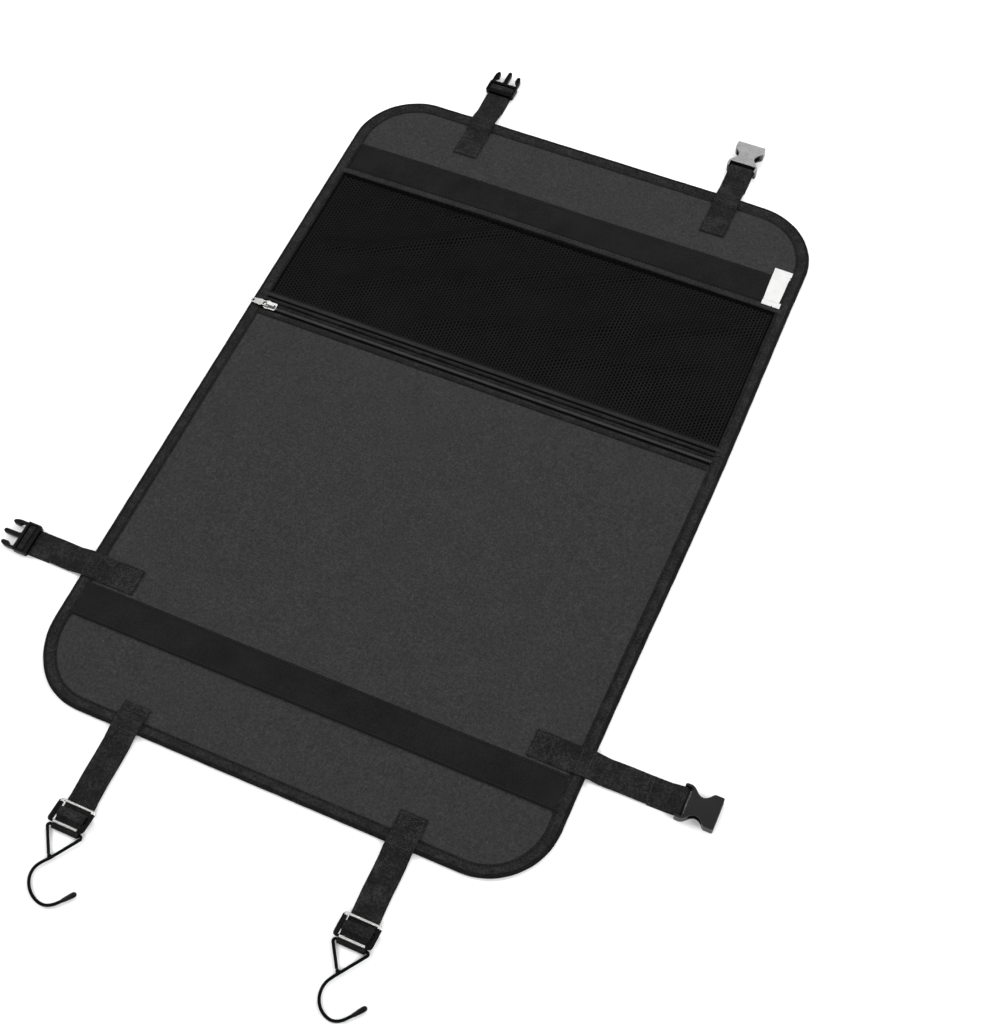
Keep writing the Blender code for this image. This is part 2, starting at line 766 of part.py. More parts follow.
# ------------------------------------------------------------------ wire hooks
def hook(side, x, axis_y, shape):
    """One bent wire: a triangle round the webbing, closed at its apex, that runs on into a
    J. The origin is on the base bar, and the hook leans down so that its cap meets the floor."""
    # plan of the wire from its free end at the apex, round the base bar and on into the J
    corner_l, corner_r, apex = shape[:3]
    plan = filleted([(apex[0] - 2.7, apex[1] + 2.4), corner_l, corner_r, apex], 1.8, 5)
    # the J: from the apex, round to the left and up to the tip on the right
    bend = shape[2:]
    curve = []
    for i in range(len(bend) - 1):
        p0 = Vector(bend[max(i - 1, 0)])
        p1, p2 = Vector(bend[i]), Vector(bend[i + 1])
        p3 = Vector(bend[min(i + 2, len(bend) - 1)])
        for k in range(2):
            t = k / 2
            curve.append(
                tuple(
                    0.5
                    * (
                        2 * p1
                        + (p2 - p0) * t
                        + (2 * p0 - 5 * p1 + 4 * p2 - p3) * t * t
                        + (3 * p1 - p0 - 3 * p2 + p3) * t ** 3
                    )
                )
            )
    curve.append(bend[-1])
    plan = plan[:-1] + curve
    lean = math.asin((HOOK_Z - CAP_R) / 41.0)
    location = at(x, axis_y, HOOK_Z)
    turn = (lean, 0.0, 0.0)
    hook_wire = wire("hook_" + side, [(px, py, 0.0) for px, py in plan], WIRE_R, location, WIRE_BLACK)
    hook_wire.rotation_euler = turn

    # cap over the last of the wire, with a rounded tip and a bore that the wire sits in
    tip, back = Vector(bend[-1]), Vector(bend[-2])
    away = (tip - back).normalized()
    inner = [Vector(bend[-3]), back, tip]
    start = inner[0] + (inner[1] - inner[0]) * 0.55
    core = [start, inner[1], tip, tip + away * 0.4]
    cap_pts = [start + (inner[1] - start) * 0.02, inner[1], tip + away * 1.2]
    cap = wire(
        "hook_tip_" + side,
        [(p.x, p.y, 0.0) for p in cap_pts],
        CAP_R,
        location,
        PLASTIC,
        resolution=3,
    )
    cap.rotation_euler = turn
    cap = meshed(cap)
    bore_pts = [start - (inner[1] - start) * 0.3] + core[1:]
    bore = wire(
        "bore_" + side,
        [(p.x, p.y, 0.0) for p in bore_pts],
        WIRE_R + GAP + 0.05,
        location,
        PLASTIC,
        resolution=2,
        collection=CUTTERS,
    )
    bore.rotation_euler = turn
    bore = meshed(bore)
    softened(cap, 1.0, 2, 50)
    boolean(cap, bore, "DIFFERENCE")


hook("left", BOTTOM_LEFT_X, HOOK_LEFT_AXIS_Y, HOOK_LEFT)
hook("right", BOTTOM_RIGHT_X, HOOK_RIGHT_AXIS_Y, HOOK_RIGHT)

# Round and bent pieces are shaded smooth.
for obj in PARTS.objects:
    if obj.type == "MESH":
        obj.data.shade_smooth()
        obj.data.set_sharp_from_angle(angle=math.radians(40))
bpy.context.view_layer.update()
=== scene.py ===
import math
import random

import bmesh
import bpy
import numpy as np
from mathutils import Matrix, Vector


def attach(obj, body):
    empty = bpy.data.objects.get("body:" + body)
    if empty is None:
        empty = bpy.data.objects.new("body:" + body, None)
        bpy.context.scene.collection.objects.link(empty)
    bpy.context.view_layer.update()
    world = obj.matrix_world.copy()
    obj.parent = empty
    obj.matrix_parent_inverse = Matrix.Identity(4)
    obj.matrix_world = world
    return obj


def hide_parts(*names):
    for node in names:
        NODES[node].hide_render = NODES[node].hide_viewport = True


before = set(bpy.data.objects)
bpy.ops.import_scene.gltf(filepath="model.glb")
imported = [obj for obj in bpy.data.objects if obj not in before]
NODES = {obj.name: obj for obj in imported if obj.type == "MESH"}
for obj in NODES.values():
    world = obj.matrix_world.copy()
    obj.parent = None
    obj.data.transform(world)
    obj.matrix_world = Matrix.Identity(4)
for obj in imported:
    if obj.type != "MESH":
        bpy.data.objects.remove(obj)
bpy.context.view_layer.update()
random.seed(7)
RNG = np.random.default_rng(7)

# Lengths are in millimetres on the mat's own grid, with zero at its lower left
# corner on the floor. place() turns them into metres in the shared frame.
MM = 0.001
MID_X, MID_Y = 241.8, 303.7
MAT_W, MAT_H, CORNER = 460.0, 690.0, 60.0
BINDING_W, RIM_TOP = 10.8, 3.8
WEB_W, WEB_T, GAP = 24.0, 1.2, 0.3
ZIP_Y = 413.4


# ------------------------------------------------------------------ the lie of the cloth
def smooth01(t):
    t = np.clip(t, 0.0, 1.0)
    return t * t * (3.0 - 2.0 * t)


def relief(x, y):
    """How far the cloth stands off a dead flat lie, shared by every layer."""
    x, y = np.asarray(x, float), np.asarray(y, float)
    inside = np.minimum(np.minimum(x, MAT_W - x), np.minimum(y, MAT_H - y))
    mask = smooth01(inside / 48.0) * (1.0 - 0.8 * np.exp(-(((y - ZIP_Y) / 26.0) ** 2)))
    r = (
        0.50
        + 0.22 * np.sin(x / 47.0 + y / 131.0 + 0.6)
        + 0.20 * np.sin(y / 58.0 - x / 170.0 + 2.1)
        + 0.13 * np.sin((x + 1.7 * y) / 71.0 + 4.0)
        + 0.09 * np.sin((1.9 * x - y) / 53.0 + 1.0)
    )
    return 1.15 * mask * np.clip(r, 0.0, None)


def bulge(x, y):
    """The right edge bows out a little between its straps."""
    x, y = np.asarray(x, float), np.asarray(y, float)
    along = np.where((y > 150) & (y < 620), np.sin(np.pi * (y - 150) / 470.0) ** 2, 0.0)
    return 2.2 * smooth01((x - 180.0) / 280.0) * along


def bow(x, y):
    """The top edge bows up a little between its corners."""
    across = smooth01(x / 60.0) * smooth01((MAT_W - x) / 90.0)
    return 2.0 * across * smooth01((y - 600.0) / 85.0) * (1.0 - smooth01((y - 694.0) / 16.0))


def tucked(x, y):
    """How far the lower left corner is drawn in."""
    return 1.5 * np.exp(-((x - 8.0) ** 2 + (y - 32.0) ** 2) / 28.0**2)


def place(points, lie=True):
    p = np.array(points, float).reshape(-1, 3)
    x, y = p[:, 0].copy(), p[:, 1].copy()
    if lie:
        p[:, 0] += bulge(x, y) + tucked(x, y)
        p[:, 1] += bow(x, y) + 0.45 * tucked(x, y)
        p[:, 2] += relief(x, y)
    p[:, 0] -= MID_X
    p[:, 1] -= MID_Y
    return p * MM


# ------------------------------------------------------------------ mesh building
def make(name, verts, faces, mat, body="mat", node=None, uv=None, lie=True, smooth=True, fix=True,
         sharp=None, others=(), pick=None):
    """A mesh object from grid points in mm, riding on a body and standing for a node. The
    faces take mat, or one of others where pick gives a number above 0 for their middle."""
    mesh = bpy.data.meshes.new(name)
    if isinstance(faces, np.ndarray):
        faces = faces.tolist()
    mesh.from_pydata(place(verts, lie).tolist(), [], faces)
    mesh.update()
    if uv is not None:
        layer = mesh.uv_layers.new(name="weave")
        index = np.zeros(len(mesh.loops), np.int32)
        mesh.loops.foreach_get("vertex_index", index)
        layer.uv.foreach_set("vector", (np.asarray(uv, np.float32)[index] * MM).ravel())
    if fix:
        bm = bmesh.new()
        bm.from_mesh(mesh)
        bmesh.ops.recalc_face_normals(bm, faces=bm.faces)
        bm.to_mesh(mesh)
        bm.free()
    if smooth:
        mesh.shade_smooth()
        if sharp:
            mesh.set_sharp_from_angle(angle=math.radians(sharp))
    mesh.materials.append(mat)
    if pick is not None:
        for other in others:
            mesh.materials.append(other)
        flat = np.asarray(verts, float).reshape(-1, 3)
        for face in mesh.polygons:
            face.material_index = pick(*flat[list(face.vertices)].mean(0))
    obj = bpy.data.objects.new(name, mesh)
    bpy.context.scene.collection.objects.link(obj)
    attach(obj, body)
    if node:
        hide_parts(node)
    return obj


def steps(a, b, step, edge=(0.0, 0.25, 0.8)):
    n = max(2, int(round((b - a - 2 * edge[-1]) / step)))
    mid = np.linspace(a + edge[-1], b - edge[-1], n + 1)
    lead = np.array(edge[:-1])
    return np.concatenate([a + lead, mid, (b - lead)[::-1]])


def panel(name, x, y, z, step, mat, node, lift=None, others=(), pick=None, rows=None):
    """A closed thin sheet over a rectangle, with soft edges."""
    xs, ys = steps(x[0], x[1], step), steps(y[0], y[1], step)
    if rows is not None:
        ys = np.unique(np.round(np.concatenate([ys, rows]), 3))
    X, Y = np.meshgrid(xs, ys, indexing="ij")
    edge = np.minimum(np.minimum(X - x[0], x[1] - X), np.minimum(Y - y[0], y[1] - Y))
    full = 0.35 + 0.65 * np.sqrt(1 - (1 - np.clip(edge / 0.8, 0, 1)) ** 2)
    mid, half = (z[0] + z[1]) / 2, (z[1] - z[0]) / 2
    up = lift(X, Y) if lift else 0.0
    top = np.stack([X, Y, mid + half * full + up], -1).reshape(-1, 3)
    low = np.stack([X, Y, mid - half * full + up], -1).reshape(-1, 3)
    n, m = len(xs), len(ys)
    i, j = np.meshgrid(np.arange(n - 1), np.arange(m - 1), indexing="ij")
    a = (i * m + j).ravel()
    quads = np.stack([a, a + m, a + m + 1, a + 1], -1)
    off = n * m
    under = quads[:, ::-1] + off
    ring = np.concatenate(
        [
            np.arange(n) * m,
            (n - 1) * m + np.arange(1, m),
            (np.arange(n - 2, -1, -1)) * m + m - 1,
            np.arange(m - 2, 0, -1),
        ]
    )
    nxt = np.roll(ring, -1)
    sides = np.stack([nxt, ring, ring + off, nxt + off], -1)
    return make(name, np.concatenate([top, low]), np.concatenate([quads, under, sides]), mat, node=node,
                others=others, pick=pick)


def sweep(stations, ring, closed=False):
    """Quads between rings of points. stations is (count, ring, 3)."""
    n, m = stations.shape[:2]
    last = n if closed else n - 1
    i, j = np.meshgrid(np.arange(last), np.arange(m if ring else m - 1), indexing="ij")
    i, j = i.ravel(), j.ravel()
    i2, j2 = (i + 1) % n, (j + 1) % m
    return np.stack([i * m + j, i2 * m + j, i2 * m + j2, i * m + j2], -1)


def arc(cx, cy, r, a0, a1, n):
    return [
        (
            cx + r * math.cos(math.radians(a0 + (a1 - a0) * i / n)),
            cy + r * math.sin(math.radians(a0 + (a1 - a0) * i / n)),
        )
        for i in range(n + 1)
    ]


def filleted(path, r, n=4):
    """The open polyline with each inner corner rounded to radius r."""
    out = [path[0]]
    for a, b, c in zip(path, path[1:], path[2:]):
        pa, pb, pc = Vector(a), Vector(b), Vector(c)
        u, v = (pa - pb).normalized(), (pc - pb).normalized()
        half = math.acos(max(-1.0, min(1.0, u.dot(v)))) / 2
        if half > math.radians(87):
            out.append(tuple(b))
            continue
        reach = min(r / math.tan(half), 0.49 * (pa - pb).length, 0.49 * (pc - pb).length)
        radius = reach * math.tan(half)
        centre = pb + (u + v).normalized() * (radius / math.sin(half))
        start, end = pb + u * reach - centre, pb + v * reach - centre
        turn = start.angle_signed(end)
        for i in range(n + 1):
            t = -turn * i / n
            out.append(
                (
                    centre.x + start.x * math.cos(t) - start.y * math.sin(t),
                    centre.y + start.x * math.sin(t) + start.y * math.cos(t),
                )
            )
    out.append(path[-1])
    return out


def resampled(points, step):
    """The polyline with points at most step apart, its own corners kept."""
    out = [np.array(points[0], float)]
    for a, b in zip(points, points[1:]):
        a, b = np.array(a, float), np.array(b, float)
        n = max(1, int(math.ceil(np.linalg.norm(b - a) / step)))
        out += [a + (b - a) * k / n for k in range(1, n + 1)]
    kept = [out[0]]
    for p in out[1:]:
        if np.linalg.norm(p - kept[-1]) > 1e-3:
            kept.append(p)
    return np.array(kept)


# ------------------------------------------------------------------ materials
class Look:
    """A Principled material with small helpers for its nodes."""

    def __init__(self, name, colour, roughness, metallic=0.0, specular=0.5):
        self.mat = bpy.data.materials.new(name)
        self.mat.use_nodes = True
        self.tree = self.mat.node_tree
        self.bsdf = self.tree.nodes["Principled BSDF"]
        self.set("Base Color", (*colour, 1.0))
        self.set("Roughness", roughness)
        self.set("Metallic", metallic)
        self.set("Specular IOR Level", specular)
        self.mat.diffuse_color = (*colour, 1.0)

    def set(self, name, value):
        self.put(self.bsdf.inputs[name], value)

    def put(self, socket, value):
        if isinstance(value, bpy.types.NodeSocket):
            self.tree.links.new(value, socket)
        else:
            socket.default_value = value

    def node(self, kind, **props):
        made = self.tree.nodes.new("ShaderNode" + kind)
        for key, value in props.items():
            setattr(made, key, value)
        return made

    def coords(self):
        return self.node("TexCoord").outputs["Object"]

    def weave(self):
        return self.node("UVMap", uv_map="weave").outputs["UV"]

    def moved(self, vector, scale=(1, 1, 1), turn=0.0):
        made = self.node("Mapping")
        self.put(made.inputs["Vector"], vector)
        made.inputs["Scale"].default_value = scale
        made.inputs["Rotation"].default_value = (0.0, 0.0, turn)
        return made.outputs[0]

    def parts(self, vector):
        made = self.node("SeparateXYZ")
        self.put(made.inputs[0], vector)
        return made.outputs[0], made.outputs[1], made.outputs[2]

    def math(self, operation, a, b=None, c=None, clamp=False):
        made = self.node("Math", operation=operation, use_clamp=clamp)
        for socket, value in zip(made.inputs, (a, b, c)):
            if value is not None:
                self.put(socket, value)
        return made.outputs[0]

    def noise(self, vector, scale, detail=2.0, rough=0.5):
        made = self.node("TexNoise")
        self.put(made.inputs["Vector"], vector)
        made.inputs["Scale"].default_value = scale
        made.inputs["Detail"].default_value = detail
        made.inputs["Roughness"].default_value = rough
        return made.outputs["Fac"]

    def ramp(self, fac, *stops):
        made = self.node("ValToRGB")
        self.put(made.inputs[0], fac)
        ramp = made.color_ramp
        while len(ramp.elements) < len(stops):
            ramp.elements.new(0.5)
        for element, (at, colour) in zip(ramp.elements, stops):
            element.position = at
            element.color = (*colour, 1.0) if len(colour) == 3 else colour
        return made.outputs[0]

    def ranged(self, value, low, high, to_low, to_high):
        made = self.node("MapRange")
        for socket, v in zip(made.inputs, (value, low, high, to_low, to_high)):
            self.put(socket, v)
        return made.outputs[0]

    def bump(self, height, distance, strength=1.0, normal=None):
        made = self.node("Bump")
        made.inputs["Distance"].default_value = distance
        made.inputs["Strength"].default_value = strength
        self.put(made.inputs["Height"], height)
        if normal is not None:
            self.put(made.inputs["Normal"], normal)
        self.set("Normal", made.outputs[0])
        return made.outputs[0]

    def checks(self, u, v, pitch):
        """A plain weave's over and under, from two coordinates in metres."""
        k = math.pi / pitch
        su = self.math("SINE", self.math("MULTIPLY", u, k))
        sv = self.math("SINE", self.math("MULTIPLY", v, k))
        return self.math("MULTIPLY", su, sv)


def grey(v):
    return (v, v, v)


def oxford():
    look = Look("grey_oxford", grey(0.025), 0.9, specular=0.06)
    at = look.coords()
    x, y, z = look.parts(at)
    over = look.checks(x, y, 0.00075)
    warp = look.noise(look.moved(at, (1.0, 0.16, 1.0)), 1500.0, 2.0)
    weft = look.noise(look.moved(at, (0.16, 1.0, 1.0)), 1500.0, 2.0)
    side = look.ranged(over, -0.5, 0.5, 0.0, 1.0)
    mixed = look.math("ADD", look.math("MULTIPLY", warp, side),
                      look.math("MULTIPLY", weft, look.math("SUBTRACT", 1.0, side)))
    speck = look.noise(at, 620.0, 3.0, 0.65)
    cloud = look.noise(at, 38.0, 3.0, 0.6)
    tone = look.math("ADD", look.math("MULTIPLY", mixed, 0.62), look.math("MULTIPLY", speck, 0.38))
    tone = look.math("ADD", tone, look.math("MULTIPLY", look.math("SUBTRACT", cloud, 0.5), 0.10))
    look.set("Base Color", look.ramp(tone, (0.34, grey(0.0130)), (0.50, grey(0.0242)), (0.66, grey(0.0430))))
    look.set("Roughness", look.ranged(cloud, 0.3, 0.7, 0.80, 0.94))
    look.set("Sheen Weight", 0.015)
    look.set("Sheen Roughness", 0.5)
    fine = look.math("ADD", look.math("MULTIPLY", look.math("ABSOLUTE", over), 0.8), look.math("MULTIPLY", speck, 0.8))
    look.bump(fine, 0.00016, 0.9)
    return look.mat


def plain_cloth(name, value, pitch, specular, sheen, spread=0.35, behind=None):
    look = Look(name, grey(value), 0.8, specular=specular)
    at = look.coords()
    x, y, z = look.parts(at)
    over = look.checks(x, y, pitch)
    speck = look.noise(at, 900.0, 2.0, 0.6)
    cloud = look.noise(at, 30.0, 3.0, 0.6)
    tone = look.math("ADD", look.math("MULTIPLY", speck, 0.6), look.math("MULTIPLY", cloud, 0.4))
    face = look.ramp(tone, (0.30, grey(value * (1 - spread))), (0.70, grey(value * (1 + spread))))
    if behind:
        # painted shade: the part that lies behind the net is painted near black, standing for the shade in the net's
        # holes; the part that shows above the net keeps the cloth's own black
        mix = look.node("Mix", data_type="RGBA")
        above = look.ranged(y, (584.0 - MID_Y) * MM, (585.5 - MID_Y) * MM, 0.0, 1.0)
        look.put(mix.inputs["Factor"], above)
        look.put(mix.inputs[6], (*grey(behind), 1.0))
        look.put(mix.inputs[7], face)
        face = mix.outputs[2]
    look.set("Base Color", face)
    look.set("Roughness", look.ranged(cloud, 0.3, 0.7, 0.70, 0.86))
    look.set("Sheen Weight", sheen)
    look.set("Sheen Roughness", 0.45)
    fine = look.math("ADD", look.math("MULTIPLY", look.math("ABSOLUTE", over), 0.7), look.math("MULTIPLY", speck, 0.5))
    look.bump(fine, 0.0001, 0.7)
    return look.mat


def net_thread():
    look = Look("black_mesh", grey(0.0021), 0.5, specular=0.085)
    at = look.coords()
    speck = look.noise(at, 2600.0, 2.0, 0.6)
    cloud = look.noise(at, 45.0, 3.0, 0.6)
    look.set("Base Color", look.ramp(cloud, (0.3, grey(0.0012)), (0.7, grey(0.0030))))
    look.set("Roughness", look.ranged(speck, 0.3, 0.7, 0.42, 0.60))
    look.bump(speck, 0.00008, 0.8)
    return look.mat


def tape(name, value, rib, specular=0.06, sheen=0.02, ribs_across=True):
    """Narrow woven tape: rounded ribs with the crossing yarns between them."""
    look = Look(name, grey(value), 0.8, specular=specular)
    uv = look.weave()
    s, t, _ = look.parts(uv)
    along, across = (s, t) if ribs_across else (t, s)
    ridge = look.math("ABSOLUTE", look.math("SINE", look.math("MULTIPLY", along, math.pi / rib)))
    over = look.checks(along, across, rib * 0.8)
    at = look.coords()
    speck = look.noise(at, 520.0, 3.0, 0.7)
    cloud = look.noise(at, 90.0, 3.0, 0.6)
    tone = look.math("ADD", look.math("MULTIPLY", speck, 0.65), look.math("MULTIPLY", cloud, 0.35))
    tone = look.math("ADD", tone, look.math("MULTIPLY", over, 0.05))
    look.set("Base Color", look.ramp(tone, (0.36, grey(value * 0.35)), (0.5, grey(value)), (0.66, grey(value * 2.4))))
    look.set("Roughness", look.ranged(cloud, 0.3, 0.7, 0.66, 0.88))
    look.set("Sheen Weight", sheen)
    look.set("Sheen Roughness", 0.45)
    height = look.math("ADD", look.math("MULTIPLY", ridge, 0.7),
                       look.math("ADD", look.math("MULTIPLY", over, 0.35), look.math("MULTIPLY", speck, 0.6)))
    look.bump(height, 0.00022, 0.9)
    return look.mat


def webbing():
    """Flat webbing: lengthwise cords that the weft crosses in a chevron."""
    look = Look("webbing", grey(0.0135), 0.8, specular=0.06)
    s, t, _ = look.parts(look.weave())
    row = look.math("MULTIPLY", t, 1 / 0.00155)
    cell = look.math("FLOOR", row)
    ridge = look.math("ABSOLUTE", look.math("SINE", look.math("MULTIPLY", row, math.pi)))
    lean = look.math("MULTIPLY", look.math("SUBTRACT", look.math("MULTIPLY", look.math("MODULO", cell, 2.0), 2.0), 1.0),
                     look.math("MULTIPLY", t, 0.9))
    pick = look.math("ABSOLUTE", look.math("SINE", look.math("MULTIPLY", look.math("ADD", s, lean), math.pi / 0.0012)))
    at = look.coords()
    speck = look.noise(at, 560.0, 3.0, 0.7)
    cloud = look.noise(at, 70.0, 3.0, 0.6)
    tone = look.math("ADD", look.math("MULTIPLY", speck, 0.6), look.math("MULTIPLY", cloud, 0.4))
    tone = look.math("ADD", tone, look.math("MULTIPLY", look.math("SUBTRACT", ridge, 0.5), 0.06))
    look.set("Base Color", look.ramp(tone, (0.34, grey(0.0030)), (0.5, grey(0.0088)), (0.68, grey(0.028))))
    look.set("Roughness", look.ranged(cloud, 0.3, 0.7, 0.62, 0.86))
    look.set("Sheen Weight", 0.02)
    look.set("Sheen Roughness", 0.4)
    height = look.math("ADD", look.math("MULTIPLY", ridge, 0.8),
                       look.math("ADD", look.math("MULTIPLY", pick, 0.5), look.math("MULTIPLY", speck, 0.5)))
    look.bump(height, 0.00024, 0.9)
    return look.mat


def thread(name, value):
    look = Look(name, grey(value), 0.6, specular=0.12)
    at = look.coords()
    speck = look.noise(at, 3000.0, 2.0)
    look.set("Base Color", look.ramp(speck, (0.3, grey(value * 0.6)), (0.7, grey(value * 1.5))))
    look.bump(speck, 0.00005, 0.6)
    return look.mat


def plastic(name, value, rough, grain, specular=0.5):
    look = Look(name, grey(value), rough, specular=specular)
    at = look.coords()
    speck = look.noise(at, 2400.0, 3.0, 0.6)
    cloud = look.noise(at, 160.0, 3.0, 0.6)
    look.set("Base Color", look.ramp(cloud, (0.3, grey(value * 0.8)), (0.7, grey(value * 1.35))))
    look.set("Roughness", look.ranged(cloud, 0.3, 0.7, rough * 0.93, rough * 1.08))
    look.bump(speck, grain, 0.5)
    return look.mat


def metal(name, value, rough):
    look = Look(name, (value, value * 0.99, value * 0.97), rough, metallic=1.0)
    at = look.coords()
    brushed = look.noise(look.moved(at, (0.08, 1.0, 1.0)), 1400.0, 2.0)
    cloud = look.noise(at, 220.0, 3.0, 0.6)
    look.set("Base Color", look.ramp(cloud, (0.3, (value * 0.88, value * 0.87, value * 0.85)),
                                     (0.7, (value * 1.1, value * 1.09, value * 1.07))))
    look.set("Roughness", look.ranged(brushed, 0.3, 0.7, rough * 0.92, rough * 1.1))
    look.bump(brushed, 0.0000012, 0.5)
    return look.mat


def wire_coat():
    look = Look("coated_wire", grey(0.0010), 0.32, specular=0.05)
    at = look.coords()
    orange = look.noise(at, 1500.0, 2.0)
    cloud = look.noise(at, 200.0, 3.0)
    look.set("Base Color", look.ramp(cloud, (0.3, grey(0.0007)), (0.7, grey(0.0015))))
    look.set("Roughness", look.ranged(cloud, 0.3, 0.7, 0.27, 0.40))
    look.bump(orange, 0.00005, 0.5)
    return look.mat


def label_cloth():
    look = Look("label_white", (0.56, 0.56, 0.555), 0.55, specular=0.2)
    s, t, _ = look.parts(look.weave())
    over = look.checks(s, t, 0.0003)
    at = look.coords()
    cloud = look.noise(at, 120.0, 3.0)
    speck = look.noise(at, 2200.0, 2.0)
    look.set("Base Color", look.ramp(look.math("ADD", look.math("MULTIPLY", cloud, 0.5), look.math("MULTIPLY", speck, 0.5)),
                                     (0.3, (0.50, 0.50, 0.495)), (0.7, (0.60, 0.60, 0.595))))
    look.set("Roughness", look.ranged(cloud, 0.3, 0.7, 0.48, 0.66))
    look.bump(look.math("ADD", over, speck), 0.00004, 0.6)
    return look.mat


OXFORD = oxford()
BAND = plain_cloth("black_cloth", 0.0085, 0.00045, 0.04, 0.0, spread=0.6)
# BACKING carries painted shade behind the net: near black below the pocket's mouth
BACKING = plain_cloth("black_cloth_backing", 0.0085, 0.00045, 0.04, 0.0, spread=0.6, behind=0.0013)
# painted shade: a darker black cloth for shaded lines at stitch grooves and edges
BAND_SHADE_LINE = plain_cloth("black_cloth_shade_line", 0.0066, 0.00045, 0.04, 0.0)
# painted highlight: a lighter copy of the black cloth for the lit crests of the elastic and the hem
ROLL_HIGHLIGHT = plain_cloth("black_cloth_roll_highlight", 0.0200, 0.0009, 0.05, 0.0, spread=0.55)
# painted shade: a near black cloth laid on shadowed gaps, grooves and the shadow under the elastic
PAINTED_SHADE = plain_cloth("black_cloth_painted_shade", 0.0016, 0.0006, 0.02, 0.0)
NET = net_thread()
BINDING = tape("binding_tape", 0.0120, 0.0011)
# painted shade: darker copies of the binding tape for its outer fold and its stitch groove
BINDING_FOLD_SHADE = tape("binding_tape_fold_shade", 0.0052, 0.0011)
BINDING_SHADE_LINE = tape("binding_tape_shade_line", 0.0075, 0.0011)
ZIP_TAPE = tape("zip_tape", 0.0082, 0.0008, ribs_across=False)
# painted highlight: a lighter tape for the zip tapes' raised ridges
ZIP_TAPE_RIDGE_HIGHLIGHT = tape("zip_tape_ridge_highlight", 0.0125, 0.0008, ribs_across=False)
WEBBING = webbing()
THREAD = thread("thread", 0.017)
THREAD_GREY = thread("thread_grey", 0.030)
COIL = plastic("zip_coil", 0.019, 0.36, 0.00002)
PLASTIC = plastic("black_plastic", 0.006, 0.26, 0.00002)
PLASTIC_SATIN = plastic("black_plastic_satin", 0.0030, 0.30, 0.00002, specular=0.13)
PLASTIC_DULL = plastic("black_plastic_dull", 0.0010, 0.30, 0.00002, specular=0.06)
CAP = plastic("hook_cap", 0.0014, 0.34, 0.00004, specular=0.12)
NICKEL = metal("nickel", 0.70, 0.18)
NICKEL_BODY = metal("nickel_body", 0.44, 0.20)
NICKEL_SATIN = metal("nickel_satin", 0.50, 0.42)
# painted reflection: near black for the dark reflection that the slides' sides show
NICKEL_DARK_REFLECTION = plastic("nickel_painted_dark_reflection", 0.0016, 0.36, 0.00001, specular=0.07)
WIRE = wire_coat()
LABEL = label_cloth()

MAT_PIECES = []


# ------------------------------------------------------------------ cloth of the mat
def corner_clamped(X, Y, inset):
    """Points outside the rounded rim are drawn onto it. Returns the points and which were."""
    r = CORNER - inset
    X, Y = np.clip(X, inset, MAT_W - inset), np.clip(Y, inset, MAT_H - inset)
    cx = np.clip(X, CORNER, MAT_W - CORNER)
    cy = np.clip(Y, CORNER, MAT_H - CORNER)
    dx, dy = X - cx, Y - cy
    far = np.hypot(dx, dy)
    out = far > r - 1e-6
    k = np.where(out, r / np.maximum(far, 1e-9), 1.0)
    return cx + dx * k, cy + dy * k, out


def back_panel():
    xs, ys = np.linspace(0.9, MAT_W - 0.9, 93), np.linspace(0.9, MAT_H - 0.9, 139)
    X, Y = np.meshgrid(xs, ys, indexing="ij")
    X, Y, out = corner_clamped(X, Y, 0.9)
    n, m = X.shape
    i, j = np.meshgrid(np.arange(n - 1), np.arange(m - 1), indexing="ij")
    a = (i * m + j).ravel()
    quads = np.stack([a, a + m, a + m + 1, a + 1], -1)
    keep = ~out.ravel()[quads].all(1)
    quads = quads[keep]
    used = np.unique(quads)
    index = np.full(n * m, -1)
    index[used] = np.arange(len(used))
    pts = np.stack([X.ravel(), Y.ravel(), np.full(n * m, 1.4)], -1)[used]
    obj = make("back_panel_cloth", pts, index[quads], OXFORD, node="back_panel", fix=False)
    mod = obj.modifiers.new("cloth", "SOLIDIFY")
    mod.thickness = 0.6 * MM
    mod.offset = -1.0
    return obj


back_panel()
INNER = 2.2
obj = panel("zip_pocket_cloth", (INNER, MAT_W - INNER), (75.0, 403.7), (1.7, 2.2), 5.0, OXFORD,
            "zip_pocket_panel")
# the backing has painted shade: darker lines at the stitch row and above the elastic, and near black in the shadow
# under the elastic
obj = panel("pocket_backing_cloth", (INNER, MAT_W - INNER), (418.4, 621.0), (1.7, 2.2), 5.0, BACKING,
            "pocket_backing", others=[BAND_SHADE_LINE, PAINTED_SHADE], rows=[577.0, 582.5, 584.0, 589.6, 591.4, 617.7, 619.4],
            pick=lambda px, py, pz: 1 if 617.7 < py < 619.4 or 589.6 < py < 591.4 else 2 if 577.0 < py < 582.5 else 0)
# painted shade in darker lines along the band's lower edge and its upper stitch line
obj = panel("lower_band_cloth", (INNER, MAT_W - INNER), (73.0, 104.0), (2.5, 2.95), 4.0, BAND,
            "lower_band", others=[BAND_SHADE_LINE], rows=[73.6, 75.0, 101.4, 103.0],
            pick=lambda px, py, pz: int(py < 75.0 or 101.4 < py < 103.0),
            lift=lambda X, Y: 0.10 * np.exp(-(((Y - 89.0) / 9.0) ** 2)) + 0.05 * np.sin(X / 9.0))


# ------------------------------------------------------------------ mesh pocket
CREASES = [  # (x0, y0, x1, y1, height, width)
    (18, 486, 205, 578, 1.9, 6.0),
    (60, 452, 265, 560, 1.5, 7.0),
    (135, 436, 330, 520, 1.3, 6.0),
    (18, 545, 110, 583, 1.1, 5.0),
    (215, 520, 345, 578, 1.5, 5.0),
    (255, 442, 420, 515, 1.5, 7.0),
    (330, 500, 446, 566, 1.6, 6.0),
    (395, 436, 448, 470, 1.0, 5.0),
    (98, 560, 190, 580, 1.2, 2.6),
    (300, 470, 330, 560, 0.9, 5.0),
]


